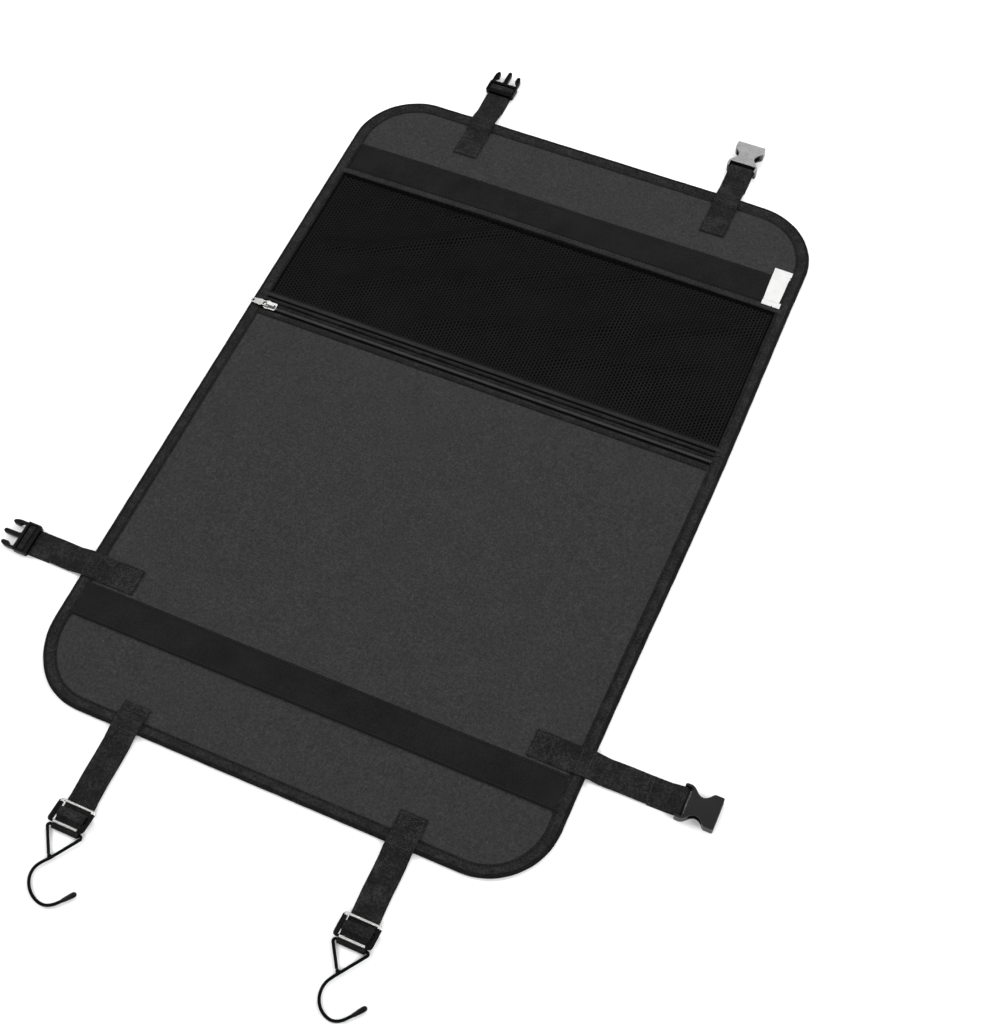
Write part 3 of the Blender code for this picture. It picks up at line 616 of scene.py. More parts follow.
def slack(x, y):
    """The loose lie of the mesh between its hem and the elastic."""
    h = np.zeros_like(x)
    for x0, y0, x1, y1, height, width in CREASES:
        d = np.array([x1 - x0, y1 - y0], float)
        length = np.hypot(*d)
        d /= length
        along = (x - x0) * d[0] + (y - y0) * d[1]
        off = (y - y0) * d[0] - (x - x0) * d[1] + 5.0 * np.sin(along / 34.0 + x0)
        ends = smooth01(along / 35.0) * smooth01((length - along) / 35.0)
        h += 1.9 * height * ends * np.exp(-((off / width) ** 2))
    h += 0.5 + 0.35 * np.sin(x / 31.0 + y / 23.0) + 0.25 * np.sin(x / 14.0 - y / 41.0)
    edge = np.minimum(np.minimum(x - 10.0, MAT_W - 10.0 - x) / 14.0, np.minimum(y - 429.0, 583.5 - y) / 10.0)
    return np.clip(h, 0.0, None) * smooth01(edge)


def roll_at(x):
    """Middle of the rolled edge along the pocket's mouth."""
    return 585.8 + 0.9 * np.sin((x - 105.0) / 72.0)


def net(name, x, y, pitch, hole, node):
    """A knitted net: each mesh a six-sided hole, the strands between them rounded."""
    step = pitch * math.sqrt(3) / 2
    cols, rows = int((x[1] - x[0]) / step), int((y[1] - y[0]) / pitch)
    i, j = np.meshgrid(np.arange(cols), np.arange(rows), indexing="ij")
    cx = (x[0] + (i + 0.5) * step).ravel()
    cy = (y[0] + (j + 0.5) * pitch + (i % 2) * pitch / 2).ravel()
    turn = np.radians(60 * np.arange(6))
    big = pitch / math.sqrt(3)
    out_x, out_y = cx[:, None] + big * np.cos(turn), cy[:, None] + big * np.sin(turn)
    in_x, in_y = cx[:, None] + hole * np.cos(turn) * 0.90, cy[:, None] + hole * np.sin(turn) * 1.10
    mid_x, mid_y = out_x * 0.42 + in_x * 0.58, out_y * 0.42 + in_y * 0.58
    key = np.round(np.stack([out_x.ravel(), out_y.ravel()], -1) * 50).astype(np.int64)
    _, first, index = np.unique(key, axis=0, return_index=True, return_inverse=True)
    index = index.reshape(-1, 6)
    ridge = np.stack([out_x.ravel()[first], out_y.ravel()[first]], -1)
    middle = np.stack([mid_x.ravel(), mid_y.ravel()], -1)
    rim = np.stack([in_x.ravel(), in_y.ravel()], -1)
    flat = np.concatenate([ridge, middle, rim])
    wander = 0.10 * np.sin(flat[:, 0] / 17.0 + flat[:, 1] / 29.0), 0.10 * np.sin(flat[:, 1] / 13.0 - flat[:, 0] / 37.0)
    flat = flat + np.stack(wander, -1)
    z = 2.80 + slack(flat[:, 0], flat[:, 1])
    n, m = len(ridge), len(middle)
    z[:n] += 0.16
    z[n:n + m] += 0.08
    z[n + m:] -= 0.16
    here = np.arange(m).reshape(-1, 6)
    quads = []
    for a, b in ((index, n + here), (n + here, n + m + here)):
        quads.append(np.stack([a, np.roll(a, -1, 1), np.roll(b, -1, 1), b], -1).reshape(-1, 4))
    pts = np.column_stack([flat, z])
    # painted shade: the net is near black where it goes in under the rolled edge, and in thin lines along its sides by
    # the binding
    return make(name, pts, np.concatenate(quads), NET, node=node, fix=False, others=[PAINTED_SHADE],
                pick=lambda px, py, pz: int(577.6 < py < 581.8 or 12.5 < px < 13.9 or px > 445.9))


obj = net("mesh_pocket_net", (4.0, MAT_W - 4.0), (426.0, 584.0), 3.4, 1.22, "mesh_pocket")


# ------------------------------------------------------------------ strips that run across the mat
def strip(name, profile, z_low, x, step, mat, node, wobble=0.05, held="laid",
          shape=None, others=(), pick=None):
    """A long piece across the mat: its top follows profile, a list of (y, z). A folded one is open behind."""
    xs = steps(x[0], x[1], step)
    ys = np.array([p[0] for p in profile], float)
    zs = np.array([p[1] for p in profile], float)
    folded = held != "laid"
    ring_y = np.concatenate([ys, ys[::-1][:-1] if folded else ys[::-1][1:-1]])
    ring_z = np.concatenate([zs, np.full(len(ring_y) - len(ys), z_low)])
    along = np.concatenate([[0], np.cumsum(np.hypot(np.diff(ring_y), np.diff(ring_z)))])
    phase = RNG.uniform(0, 6.28, 4)
    rings = []
    for k, xx in enumerate(xs):
        wave = wobble * (math.sin(xx / 7.3 + phase[0]) + 0.7 * math.sin(xx / 3.1 + phase[1]))
        y_here, z_here = ring_y + 1.2 * wave * 0.5, ring_z.copy()
        z_here[1: len(ys) - 1] += wave * 0.6 + wobble * 0.6
        if shape:
            y_here, z_here = shape(xx, y_here, z_here)
        rings.append(np.column_stack([np.full(len(ring_y), xx), y_here, z_here]))
    stations = np.array(rings)
    if folded:
        # the run starts and ends at the open side, where the net goes in
        stations = np.roll(stations, len(ring_y) - len(ys), axis=1)
    m = stations.shape[1]
    faces = sweep(stations, ring=not folded).tolist()
    if not folded:
        faces += [list(range(m))[::-1], [(len(xs) - 1) * m + i for i in range(m)]]
    uv = np.column_stack([np.repeat(xs, m), np.tile(along, len(xs))])
    obj = make(name, stations.reshape(-1, 3), faces, mat, node=node, uv=uv, sharp=60, others=others,
               pick=pick)
    return obj


# the zip's upper tape, with the turned edge of the pocket cloth along it
strip(
    "zip_tape_upper",
    [(414.2, 2.6), (414.35, 2.95), (415.2, 3.15), (416.8, 3.2), (417.7, 2.95), (418.2, 2.75), (419.2, 2.75), (419.6, 3.0),
     (420.2, 3.40), (420.9, 3.55), (421.6, 3.4), (422.3, 2.95), (423.0, 2.8), (424.0, 2.6)],
    2.5, (INNER, MAT_W - INNER), 3.0, ZIP_TAPE, "zipper_tape_upper",
    others=[PAINTED_SHADE, ZIP_TAPE_RIDGE_HIGHLIGHT],
    # painted shade in two grooves, one mid-tape and one by the hem, and a painted highlight on the raised stitched
    # ridge
    pick=lambda px, py, pz: 1 if 417.7 < py < 419.4 or py > 422.4 else 2 if py > 420.0 else 0,
)
strip(
    "zip_tape_lower",
    [(403.1, 2.45), (403.3, 2.75), (403.9, 2.95), (405.0, 2.98), (406.4, 3.02), (407.4, 3.12), (408.4, 3.05),
     (409.2, 2.85), (409.8, 2.65), (411.2, 2.65), (411.8, 2.85), (412.3, 2.85), (412.6, 2.6)],
    2.35, (INNER, MAT_W - INNER), 3.0, ZIP_TAPE, "zipper_tape_lower",
    others=[PAINTED_SHADE, ZIP_TAPE_RIDGE_HIGHLIGHT],
    # painted shade in the groove beside the coil, and a painted highlight on the raised ridge
    pick=lambda px, py, pz: 1 if py > 409.2 else 2 if 406.4 < py < 408.4 else 0,
)
strip(
    "mesh_hem_band",
    [(424.3, 2.6), (424.5, 2.95), (425.0, 3.4), (425.7, 3.7), (426.5, 3.8), (427.3, 3.65), (427.9, 3.3), (428.6, 3.1),
     (429.2, 3.0), (429.6, 2.9)],
    2.5, (INNER, MAT_W - INNER), 3.0, BAND, "mesh_hem",
    # painted highlight on the hem's crest and painted shade in the groove along its lower edge
    held="folded", others=[PAINTED_SHADE, ROLL_HIGHLIGHT],
    pick=lambda px, py, pz: 2 if pz > 3.15 and py < 427.0 else 1 if py < 425.0 else 0,
)


# the gathered elastic along the pocket's mouth, which tucks under the binding at both ends
def gathered(x, y, z):
    low = 2.5
    tuck = float(smooth01(np.array((min(x - 5.0, MAT_W - 5.0 - x)) / 13.0)))
    pucker = 0.27 * math.sin(x / 0.52 + 1.4 * math.sin(x / 5.1)) + 0.15 * math.sin(x / 1.9 + 2.0 * math.sin(x / 17.0))
    rise = z - low
    y = y + float(roll_at(x)) - 586.0 + 0.5 * pucker * np.sign(y - 586.0)
    z = low + rise * (0.28 + 0.72 * tuck) * (1.0 + pucker * (rise > 0.4))
    return y, z


turn = [math.radians(a) for a in range(180, -1, -15)]
profile = [(585.85 + 2.9 * math.copysign(abs(math.cos(a)) ** 0.75, math.cos(a)), 2.7 + 1.95 * math.sin(a) ** 0.8)
           for a in turn]
# painted highlight: the elastic is drawn in the lighter cloth for the highlight on its crest, with painted shade in a
# line along its upper flank
obj = strip("pocket_elastic", profile, 2.5, (5.0, MAT_W - 5.0), 0.9, ROLL_HIGHLIGHT, "pocket_top_elastic",
            wobble=0.0, held="gathered", shape=gathered,
            others=[PAINTED_SHADE], pick=lambda px, py, pz: int(py - roll_at(px) > 1.8))


# ------------------------------------------------------------------ binding
def rim_stations():
    """Points round the outer edge with the inward direction and the distance along."""
    pts, normals = [], []
    corners = [(MAT_W - CORNER, CORNER, -90), (MAT_W - CORNER, MAT_H - CORNER, 0), (CORNER, MAT_H - CORNER, 90),
               (CORNER, CORNER, 180)]
    for k, (cx, cy, a0) in enumerate(corners):
        for i in range(31):
            a = math.radians(a0 + 90 * i / 30)
            pts.append((cx + CORNER * math.cos(a), cy + CORNER * math.sin(a)))
            normals.append((-math.cos(a), -math.sin(a)))
        nx, ny, na = corners[(k + 1) % 4]
        b = math.radians(na)
        end = np.array((nx + CORNER * math.cos(b), ny + CORNER * math.sin(b)))
        start = np.array(pts[-1])
        n = int(np.linalg.norm(end - start) / 4.0)
        for i in range(1, n):
            pts.append(tuple(start + (end - start) * i / n))
            normals.append((-math.cos(b), -math.sin(b)))
    pts, normals = np.array(pts), np.array(normals)
    gaps = np.linalg.norm(np.roll(pts, -1, 0) - pts, axis=1)
    along = np.concatenate([[0], np.cumsum(gaps)[:-1]])
    return pts, normals, along, gaps.sum()


RIM_P, RIM_N, RIM_S, RIM_LENGTH = rim_stations()


def layers_top(y):
    """Height of the cloth that the binding's inner edge comes down on."""
    return 1.75 + 1.5 * smooth01((y - 69.0) / 5.0) * smooth01((625.0 - y) / 5.0)


def binding_top(d, y):
    inner = layers_top(y)
    z = inner + (RIM_TOP - inner) * (1.0 - smooth01((d - 2.6) / 7.6))
    return z - 0.28 * np.exp(-(((d - 8.9) / 0.75) ** 2))


def binding():
    d_top = [2.2, 3.4, 4.6, 5.8, 6.8, 7.6, 8.2, 8.6, 8.9, 9.2, 9.6, 10.1, 10.5]
    rings, across = [], None
    for (px, py), (nx, ny), s in zip(RIM_P, RIM_N, RIM_S):
        on_corner = abs(nx * ny) > 0.01
        wave = 0.05 * math.sin(s / 6.1) + 0.05 * math.sin(s / 2.7 + 1.0) + 0.06 * math.sin(s / 19.0)
        pucker = (0.16 if on_corner else 0.05) * math.sin(s / 0.95)
        outer = [(10.55, 0.03), (8.5, 0.0), (5.5, 0.0), (2.8, 0.02), (1.3, 0.22), (0.55, 0.75), (0.12, 1.5),
                 (0.10, 2.3), (0.45, 3.1), (1.15, 3.6)]
        ring = [(d, z) for d, z in outer]
        for d in d_top:
            y_here = py + ny * d
            z = float(binding_top(np.array(d), np.array(y_here))) + wave * 0.5 + pucker * (d > 6)
            ring.append((d, z))
        y_in = py + ny * 10.8
        z_in = float(binding_top(np.array(10.8), np.array(y_in)))
        ring.append((10.8 + 0.8 * wave, z_in - 0.22))
        ring.append((10.5, z_in - 0.45))
        for d in (8.9, 6.0, 3.4):
            ring.append((d, float(binding_top(np.array(d), np.array(py + ny * d))) - 0.55))
        ring += [(1.5, 2.9), (0.75, 1.9), (1.5, 0.85), (3.0, 0.52), (6.0, 0.5), (10.5, 0.45), (10.75, 0.25)]
        ring = np.array(ring)
        wider = 0.8 + 0.8 * smooth01((-nx - 0.6) / 0.4)
        ring[:, 0] += wider * smooth01((ring[:, 0] - 9.0) / 1.4)
        ring[4:9, 0] += 0.10 + wave
        ring[:, 0] = np.maximum(ring[:, 0], 0.0)
        if across is None:
            across = np.concatenate([[0], np.cumsum(np.linalg.norm(np.diff(ring, axis=0), axis=1))])
        rings.append(np.column_stack([px + nx * ring[:, 0], py + ny * ring[:, 0], ring[:, 1]]))
    stations = np.array(rings)
    # the closing ring is a copy of the first, so that the weave's coordinate runs on
    stations = np.concatenate([stations, stations[:1]])
    m = stations.shape[1]
    quads = sweep(stations, ring=True)
    s_all = np.concatenate([RIM_S, [RIM_LENGTH]])
    uv = np.column_stack([np.repeat(s_all, m), np.tile(across, len(s_all))])
    # painted shade: the tape is painted darker round its fold and along the line of stitches at its inner edge
    painted_shade_index = [2 if 4 <= j % m < 11 else 1 if 18 <= j % m <= 22 else 0 for j in range(len(quads))]
    order = iter(painted_shade_index)
    obj = make("edge_binding_tape", stations.reshape(-1, 3), quads, BINDING, node="edge_binding",
               uv=uv, others=[BINDING_SHADE_LINE, BINDING_FOLD_SHADE], pick=lambda px, py, pz: next(order))
    return obj


binding()


# ------------------------------------------------------------------ stitches
def capsules(name, a, b, radius, mat, body="mat", arch=0.0, sides=6, lie=True):
    """Short round-ended threads from points a to points b, in one mesh."""
    a, b = np.asarray(a, float), np.asarray(b, float)
    axis = b - a
    length = np.linalg.norm(axis, axis=1, keepdims=True)
    axis /= length
    up = np.tile([0.0, 0.0, 1.0], (len(a), 1))
    steep = np.abs(axis[:, 2]) > 0.9
    up[steep] = (1.0, 0.0, 0.0)
    side = np.cross(axis, up)
    side /= np.linalg.norm(side, axis=1, keepdims=True)
    up = np.cross(side, axis)
    rings = [(0.10, 0.62), (0.32, 1.0), (0.68, 1.0), (0.90, 0.62)]
    turn = 2 * math.pi * np.arange(sides) / sides
    verts = [a[:, None, :]]
    for t, scale in rings:
        centre = a + axis * length * t + up * (arch * math.sin(math.pi * t))
        verts.append(
            centre[:, None, :]
            + radius * scale * (side[:, None, :] * np.cos(turn)[None, :, None] + up[:, None, :] * np.sin(turn)[None, :, None])
        )
    verts.append(b[:, None, :])
    pts = np.concatenate(verts, 1)
    per = pts.shape[1]
    one = []
    for k in range(sides):
        k2 = (k + 1) % sides
        one.append((0, 1 + k2, 1 + k, 1 + k))
        for r in range(len(rings) - 1):
            p = 1 + r * sides
            one.append((p + k, p + k2, p + sides + k2, p + sides + k))
        p = 1 + (len(rings) - 1) * sides
        one.append((p + k, p + k2, per - 1, per - 1))
    faces = []
    for f in range(len(a)):
        base = f * per
        for q in one:
            t = []
            for v in q:
                if base + v not in t:
                    t.append(base + v)
            faces.append(t)
    return make(name, pts.reshape(-1, 3), faces, mat, body=body, lie=lie, fix=False)


def run_of(points, pitch, share=0.76, jitter=0.10):
    """Stitch ends along a polyline of (x, y, z)."""
    pts = np.array(points, float)
    seg = np.linalg.norm(np.diff(pts, axis=0), axis=1)
    total = seg.sum()
    s_at = np.concatenate([[0], np.cumsum(seg)])
    n = max(1, int(round(total / pitch)))
    starts = (np.arange(n) + 0.5 * (1 - share)) * total / n
    ends = starts + share * total / n
    out = []
    for s in (starts, ends):
        out.append(np.column_stack([np.interp(s, s_at, pts[:, k]) for k in range(3)]))
    off = RNG.normal(0, jitter, (n, 2))
    out[0][:, :2] += off * 0.5
    out[1][:, :2] += off * 0.5
    return out


def stitch_lines(name, lines, pitch, radius, mat, arch=0.10, body="mat", lie=True, share=0.76):
    a, b = [], []
    for line in lines:
        p, q = run_of(line, pitch, share)
        a.append(p)
        b.append(q)
    return capsules(name, np.concatenate(a), np.concatenate(b), radius, mat, body, arch, lie=lie)


d = 8.9
inner_line = []
for (px, py), (nx, ny) in zip(RIM_P, RIM_N):
    y_here = py + ny * d
    inner_line.append((px + nx * d, y_here, float(binding_top(np.array(d), np.array(y_here))) + 0.02))
inner_line.append(inner_line[0])
under_line = [(x, y, -0.02 + 0.12) for x, y, z in inner_line]
stitch_lines("stitching_binding", [inner_line], 3.0, 0.30, THREAD, arch=0.12)
stitch_lines("stitching_binding_under", [under_line], 3.0, 0.16, THREAD, arch=0.0)


def across_line(y, z, x0=11.5, x1=MAT_W - 11.5, n=60):
    return [(x0 + (x1 - x0) * i / n, y, z) for i in range(n + 1)]


stitch_lines(
    "stitching_rows",
    [
        across_line(75.0, 3.02),
        across_line(102.5, 3.02),
        across_line(618.6, 2.24),
        across_line(426.5, 3.86),
        across_line(420.9, 3.62),
        across_line(405.2, 3.08),
    ],
    2.9, 0.24, THREAD, arch=0.08,
)
roll_line = [(x, float(roll_at(x)) + 0.1, 4.66) for x in np.linspace(20.0, MAT_W - 32.0, 60)]
stitch_lines("stitching_elastic", [roll_line], 2.6, 0.22, THREAD, arch=0.05)


# ------------------------------------------------------------------ zip teeth
def zip_teeth():
    pitch = 1.55
    for name, node, sign, y_out, y_open in (
        ("zip_teeth_lower", "zipper_coil_lower", 1.0, 411.0, 412.2),
        ("zip_teeth_upper", "zipper_coil_upper", -1.0, 414.4, 413.75),
    ):
        xs = np.arange(12.6, MAT_W - 12.8, pitch) + (0.0 if sign > 0 else pitch / 2)
        closed = xs > 19.0
        y_in = np.where(closed, ZIP_Y - 0.7 + sign * 0.45, y_open)
        a = np.column_stack([xs, np.full(len(xs), y_out), np.full(len(xs), 3.50)])
        b = np.column_stack([xs + 0.12, y_in, np.full(len(xs), 3.60)])
        made = capsules(name, a, b, 0.46, COIL, arch=0.18, sides=8)
        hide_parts(node)


zip_teeth()

# ------------------------------------------------------------------ straps
ON_BACK, ON_POCKET = 1.4 + GAP + WEB_T / 2, 2.2 + GAP + WEB_T / 2
ON_RIM, FLOOR_RUN, UPPER_RUN = RIM_TOP + GAP + WEB_T / 2, WEB_T / 2, WEB_T * 1.5 + GAP
MALE_TOP, SIDE_MALE = 726.3, -52.0
FEMALE_TOP, FEMALE_SIDE, FEMALE_Z, BAR_R = 725.0, 535.9, 4.5, 1.5
TOP_LEFT_X, TOP_RIGHT_X, SIDE_Y = 110.0, 363.0, 118.4
BOTTOM_LEFT_X, BOTTOM_RIGHT_X = 105.0, 350.0
SLIDE_W, SLIDE_L, SLIDE_T, SLIDE_LOW, SLIDE_TILT = 33.0, 21.0, 2.2, 3.0, math.radians(9.7)
HOOK_Z, WIRE_R, CAP_R = 2.9, 1.3, 2.2
HOOK_AXIS = {"left": -90.2, "right": -82.0}
SLIDE_TOP = {"left": -68.3, "right": -60.3}
# plan of each hook about its base bar: the bar's ends, the apex, then the J to its tip
HOOK_PLAN = {
    "left": [
        (-16.8, 0.0), (16.1, 0.0), (0.2, -24.0),
        (-4.0, -29.2), (-6.7, -33.9), (-7.4, -38.6), (-6.6, -43.4), (-4.2, -47.9), (-0.4, -52.1), (4.6, -55.4),
        (10.2, -57.2), (15.6, -57.2), (20.3, -55.1), (24.0, -51.8), (27.2, -47.9), (30.2, -44.1), (32.9, -40.7),
    ],
    "right": [
        (-16.1, 0.0), (16.1, 0.0), (0.2, -22.4),
        (-3.1, -27.3), (-5.5, -32.0), (-6.3, -36.9), (-5.6, -42.2), (-3.5, -46.9), (0.1, -50.9), (4.8, -53.7),
        (9.9, -54.8), (14.6, -53.8), (18.7, -51.0), (22.0, -47.3), (24.9, -43.7), (27.6, -40.1), (29.9, -37.0),
    ],
}


def ladder_end(start, s):
    return [
        (start + s * 5.4, UPPER_RUN),
        (start + s * 5.4, 5.3),
        (start + s * 10.6, 5.3),
        (start + s * 10.6, FLOOR_RUN),
        (start - s * 20.0, FLOOR_RUN),
    ]


def bar_loop(bar, radius, s, before, after, n=16):
    out, angles = [], []
    for point, sense in ((before, -1.0), (after, 1.0)):
        dx, dz = (point[0] - bar[0]) * s, point[1] - bar[1]
        off = math.acos(radius / math.hypot(dx, dz))
        angles.append(math.atan2(dz, dx) % (2 * math.pi) + sense * off)
    start, end = angles[0], angles[1] - 2 * math.pi
    for i in range(n + 1):
        a = start + (end - start) * i / n
        out.append((bar[0] + s * radius * math.cos(a), bar[1] + radius * math.sin(a)))
    return out


def female_end(axis):
    before, after = (axis - 12.3, UPPER_RUN), (axis - 12.3, FLOOR_RUN)
    loop = bar_loop((axis, FEMALE_Z), BAR_R + GAP + WEB_T / 2, 1.0, before, after)
    return [before] + loop + [after, (axis - 25.0, FLOOR_RUN)]


def slide_middle(top):
    half_l, half_t = SLIDE_L / 2, SLIDE_T / 2
    rise = half_l * math.sin(SLIDE_TILT) + half_t * math.cos(SLIDE_TILT)
    reach = half_l * math.cos(SLIDE_TILT) + half_t * math.sin(SLIDE_TILT)
    return top - reach, SLIDE_LOW + rise


def lower_path(sewn_top, slide_top, axis_y):
    middle, middle_z = slide_middle(slide_top)
    over = middle_z + (SLIDE_T / 2 + GAP + WEB_T / 2) / math.cos(SLIDE_TILT)
    slope = math.tan(SLIDE_TILT)
    before, after = (middle - 4.9, 4.9), (axis_y + 3.0, FLOOR_RUN)
    path = filleted(
        [(sewn_top, ON_BACK), (15.5, ON_BACK), (11.5, ON_RIM), (-1.5, ON_RIM), (-12.0, UPPER_RUN),
         (middle + 4.6, UPPER_RUN), (middle + 3.0, over - 3.0 * slope), (middle - 2.8, over + 2.8 * slope), before],
        0.9, 5,
    )
    path += bar_loop((axis_y, HOOK_Z), WIRE_R + GAP + 0.05 + WEB_T / 2, -1.0, before, after)
    return path + [after, (slide_top + 6.0, FLOOR_RUN)]


def ribbon(name, path, across_at, direction, width, thick, mat, node, step=1.6, edge=True, columns=14):
    """Cloth of even thickness along a path of (distance, height), with its two faces and round edges."""
    pts = resampled(path, step)
    tangent = np.gradient(pts, axis=0)
    tangent /= np.linalg.norm(tangent, axis=1, keepdims=True)
    normal = np.column_stack([-tangent[:, 1], tangent[:, 0]])
    along = np.concatenate([[0], np.cumsum(np.linalg.norm(np.diff(pts, axis=0), axis=1))])
    h, w = thick / 2, width / 2
    cols = np.linspace(-w + h, w - h, columns)
    face = h - 0.06 * (np.abs(cols) > w - 1.6 * thick)
    ring = [(c, f) for c, f in zip(cols, face)] + [(w - 0.3 * h, 0.55 * h), (w, 0.0), (w - 0.3 * h, -0.55 * h)]
    ring += [(c, -f) for c, f in zip(cols[::-1], face[::-1])] + [(-w + 0.3 * h, -0.55 * h), (-w, 0.0), (-w + 0.3 * h, 0.55 * h)]
    ring = np.array(ring)
    n, m = len(pts), len(ring)
    sway = 0.10 * np.sin(along / 5.3 + across_at) + 0.12 * np.sin(along / 13.0)
    a = ring[None, :, 0] * (1.0 - 0.004 * np.abs(np.sin(along / 3.7))[:, None]) + sway[:, None]
    s = pts[:, None, 0] + normal[:, None, 0] * ring[None, :, 1]
    z = pts[:, None, 1] + normal[:, None, 1] * ring[None, :, 1]
    if direction == "Y":
        verts = np.stack([across_at + a, s, z], -1)
    else:
        verts = np.stack([s, across_at + a, z], -1)
    quads = sweep(verts, ring=True)
    faces = quads.tolist() + [list(range(m))[::-1], [(n - 1) * m + i for i in range(m)]]
    uv = np.column_stack([np.repeat(along, m), np.tile(ring[:, 0] + w, n)])
    obj = make(name, verts.reshape(-1, 3), faces, mat, node=node, uv=uv, sharp=70)
    return obj


ribbon(
    "webbing_top_left",
    filleted([(643.5, ON_BACK), (674.5, ON_BACK), (679.0, ON_RIM), (691.5, ON_RIM), (701.0, UPPER_RUN)]
             + ladder_end(MALE_TOP, 1.0), 1.0, 6),
    TOP_LEFT_X, "Y", WEB_W, WEB_T, WEBBING, "strap_top_left",
)
ribbon(
    "webbing_top_right",
    filleted([(643.5, ON_BACK), (674.5, ON_BACK), (679.0, ON_RIM), (691.5, ON_RIM), (700.0, UPPER_RUN),
              (706.0, UPPER_RUN)], 1.0, 6) + female_end(FEMALE_TOP),
    TOP_RIGHT_X, "Y", WEB_W, WEB_T, WEBBING, "strap_top_right",
)
ribbon(
    "webbing_side_left",
    filleted([(50.0, ON_POCKET), (15.0, ON_POCKET), (11.5, ON_RIM), (-1.5, ON_RIM), (-12.0, UPPER_RUN)]
             + ladder_end(SIDE_MALE, -1.0), 1.0, 6),
    SIDE_Y, "X", WEB_W, WEB_T, WEBBING, "strap_side_left",
)
ribbon(
    "webbing_side_right",
    filleted([(410.0, ON_POCKET), (445.0, ON_POCKET), (448.5, ON_RIM), (461.5, ON_RIM), (472.0, UPPER_RUN),
              (500.0, UPPER_RUN)], 1.0, 6) + female_end(FEMALE_SIDE),
    SIDE_Y, "X", WEB_W, WEB_T, WEBBING, "strap_side_right",
)
ribbon("webbing_bottom_left", lower_path(23.0, SLIDE_TOP["left"], HOOK_AXIS["left"]), BOTTOM_LEFT_X, "Y", WEB_W, WEB_T,
       WEBBING, "strap_bottom_left")
ribbon("webbing_bottom_right", lower_path(28.0, SLIDE_TOP["right"], HOOK_AXIS["right"]), BOTTOM_RIGHT_X, "Y", WEB_W,
       WEB_T, WEBBING, "strap_bottom_right")

# the white side label, stepping down over the edge of the elastic
LABEL_Y = (585.3, 629.8)
label = ribbon(
    "side_label_cloth",
    filleted([(LABEL_Y[0], 5.0), (590.4, 5.0), (592.9, 2.7), (621.7, 2.7), (623.4, 1.95), (LABEL_Y[1], 1.95)], 0.8, 4),
    440.3, "Y", 17.3, 0.36, LABEL, "side_label", step=1.2, columns=10,
)
for v in label.data.vertices:
    v.co.x += ((LABEL_Y[0] + LABEL_Y[1]) / 2 - MID_Y - v.co.y / MM) * 0.036 * MM


def box_of(x0, y0, x1, y1, z):
    """Lines of a box with crossed diagonals."""
    return [
        [(x0, y0, z), (x1, y0, z)], [(x1, y0, z), (x1, y1, z)], [(x1, y1, z), (x0, y1, z)], [(x0, y1, z), (x0, y0, z)],
        [(x0, y0, z), (x1, y1, z)], [(x0, y1, z), (x1, y0, z)],
    ]


TOP_B, TOP_P, TOP_F = ON_BACK + 0.62, ON_POCKET + 0.62, UPPER_RUN + 0.62
lines = []
lines += box_of(100.4, 645.4, 119.6, 660.0, TOP_B)
lines += box_of(353.4, 645.4, 372.6, 660.0, TOP_B)
lines += box_of(33.5, 108.8, 48.2, 128.0, TOP_P)
lines += box_of(411.8, 108.8, 426.0, 128.0, TOP_P)
lines += [[(x0, y0, TOP_B), (x1, y1, TOP_B)] for x0, y0, x1, y1 in (
    (95.4, 21.2, 114.6, 21.2), (95.4, 16.8, 114.6, 16.8), (95.4, 21.2, 95.4, 16.8), (114.6, 21.2, 114.6, 16.8),
    (340.4, 26.2, 359.6, 26.2), (340.4, 17.4, 359.6, 17.4), (340.4, 26.2, 340.4, 17.4), (359.6, 26.2, 359.6, 17.4),
    (340.4, 26.2, 359.6, 17.4), (340.4, 17.4, 359.6, 26.2))]
for cx, base in ((105.0, 11.5), (350.0, 11.5)):
    for y0 in (-0.4, 9.2):
        lines.append([(cx - 9.6, y0, ON_RIM + 0.62), (cx + 9.6, y0, ON_RIM + 0.62)])
for cx in (110.0, 363.0):
    for y0 in (681.0, 690.0):
        lines.append([(cx - 9.6, y0, ON_RIM + 0.62), (cx + 9.6, y0, ON_RIM + 0.62)])
for x0 in (0.8, 10.0, 450.0, 459.2):
    lines.append([(x0, SIDE_Y - 9.6, ON_RIM + 0.62), (x0, SIDE_Y + 9.6, ON_RIM + 0.62)])
lines += [[(353.8, 707.5, TOP_F), (372.2, 707.5, TOP_F)], [(353.8, 703.5, TOP_F), (372.2, 703.5, TOP_F)]]
lines += [[(506.0, SIDE_Y - 9.4, TOP_F), (506.0, SIDE_Y + 9.4, TOP_F)], [(510.0, SIDE_Y - 9.4, TOP_F), (510.0, SIDE_Y + 9.4, TOP_F)]]
stitch_lines("stitching_straps", lines, 2.3, 0.27, THREAD_GREY, arch=0.10)
stitch_lines(
    "stitching_label",
    [[(433.6, 587.0, 5.2), (448.2, 587.0, 5.2)], [(432.4, 628.2, 2.15), (446.9, 628.2, 2.15)]],
    1.9, 0.16, LABEL, arch=0.05,
)


# ------------------------------------------------------------------ hooks
def spline(points, per):
    """A smooth line through the points."""
    out = []
    pts = [Vector(p) for p in points]
    for i in range(len(pts) - 1):
        p0, p1, p2, p3 = pts[max(i - 1, 0)], pts[i], pts[i + 1], pts[min(i + 2, len(pts) - 1)]
        for k in range(per):
            t = k / per
            out.append(tuple(0.5 * (2 * p1 + (p2 - p0) * t + (2 * p0 - 5 * p1 + 4 * p2 - p3) * t * t
                                    + (3 * p1 - p0 - 3 * p2 + p3) * t ** 3)))
    out.append(tuple(pts[-1]))
    return out


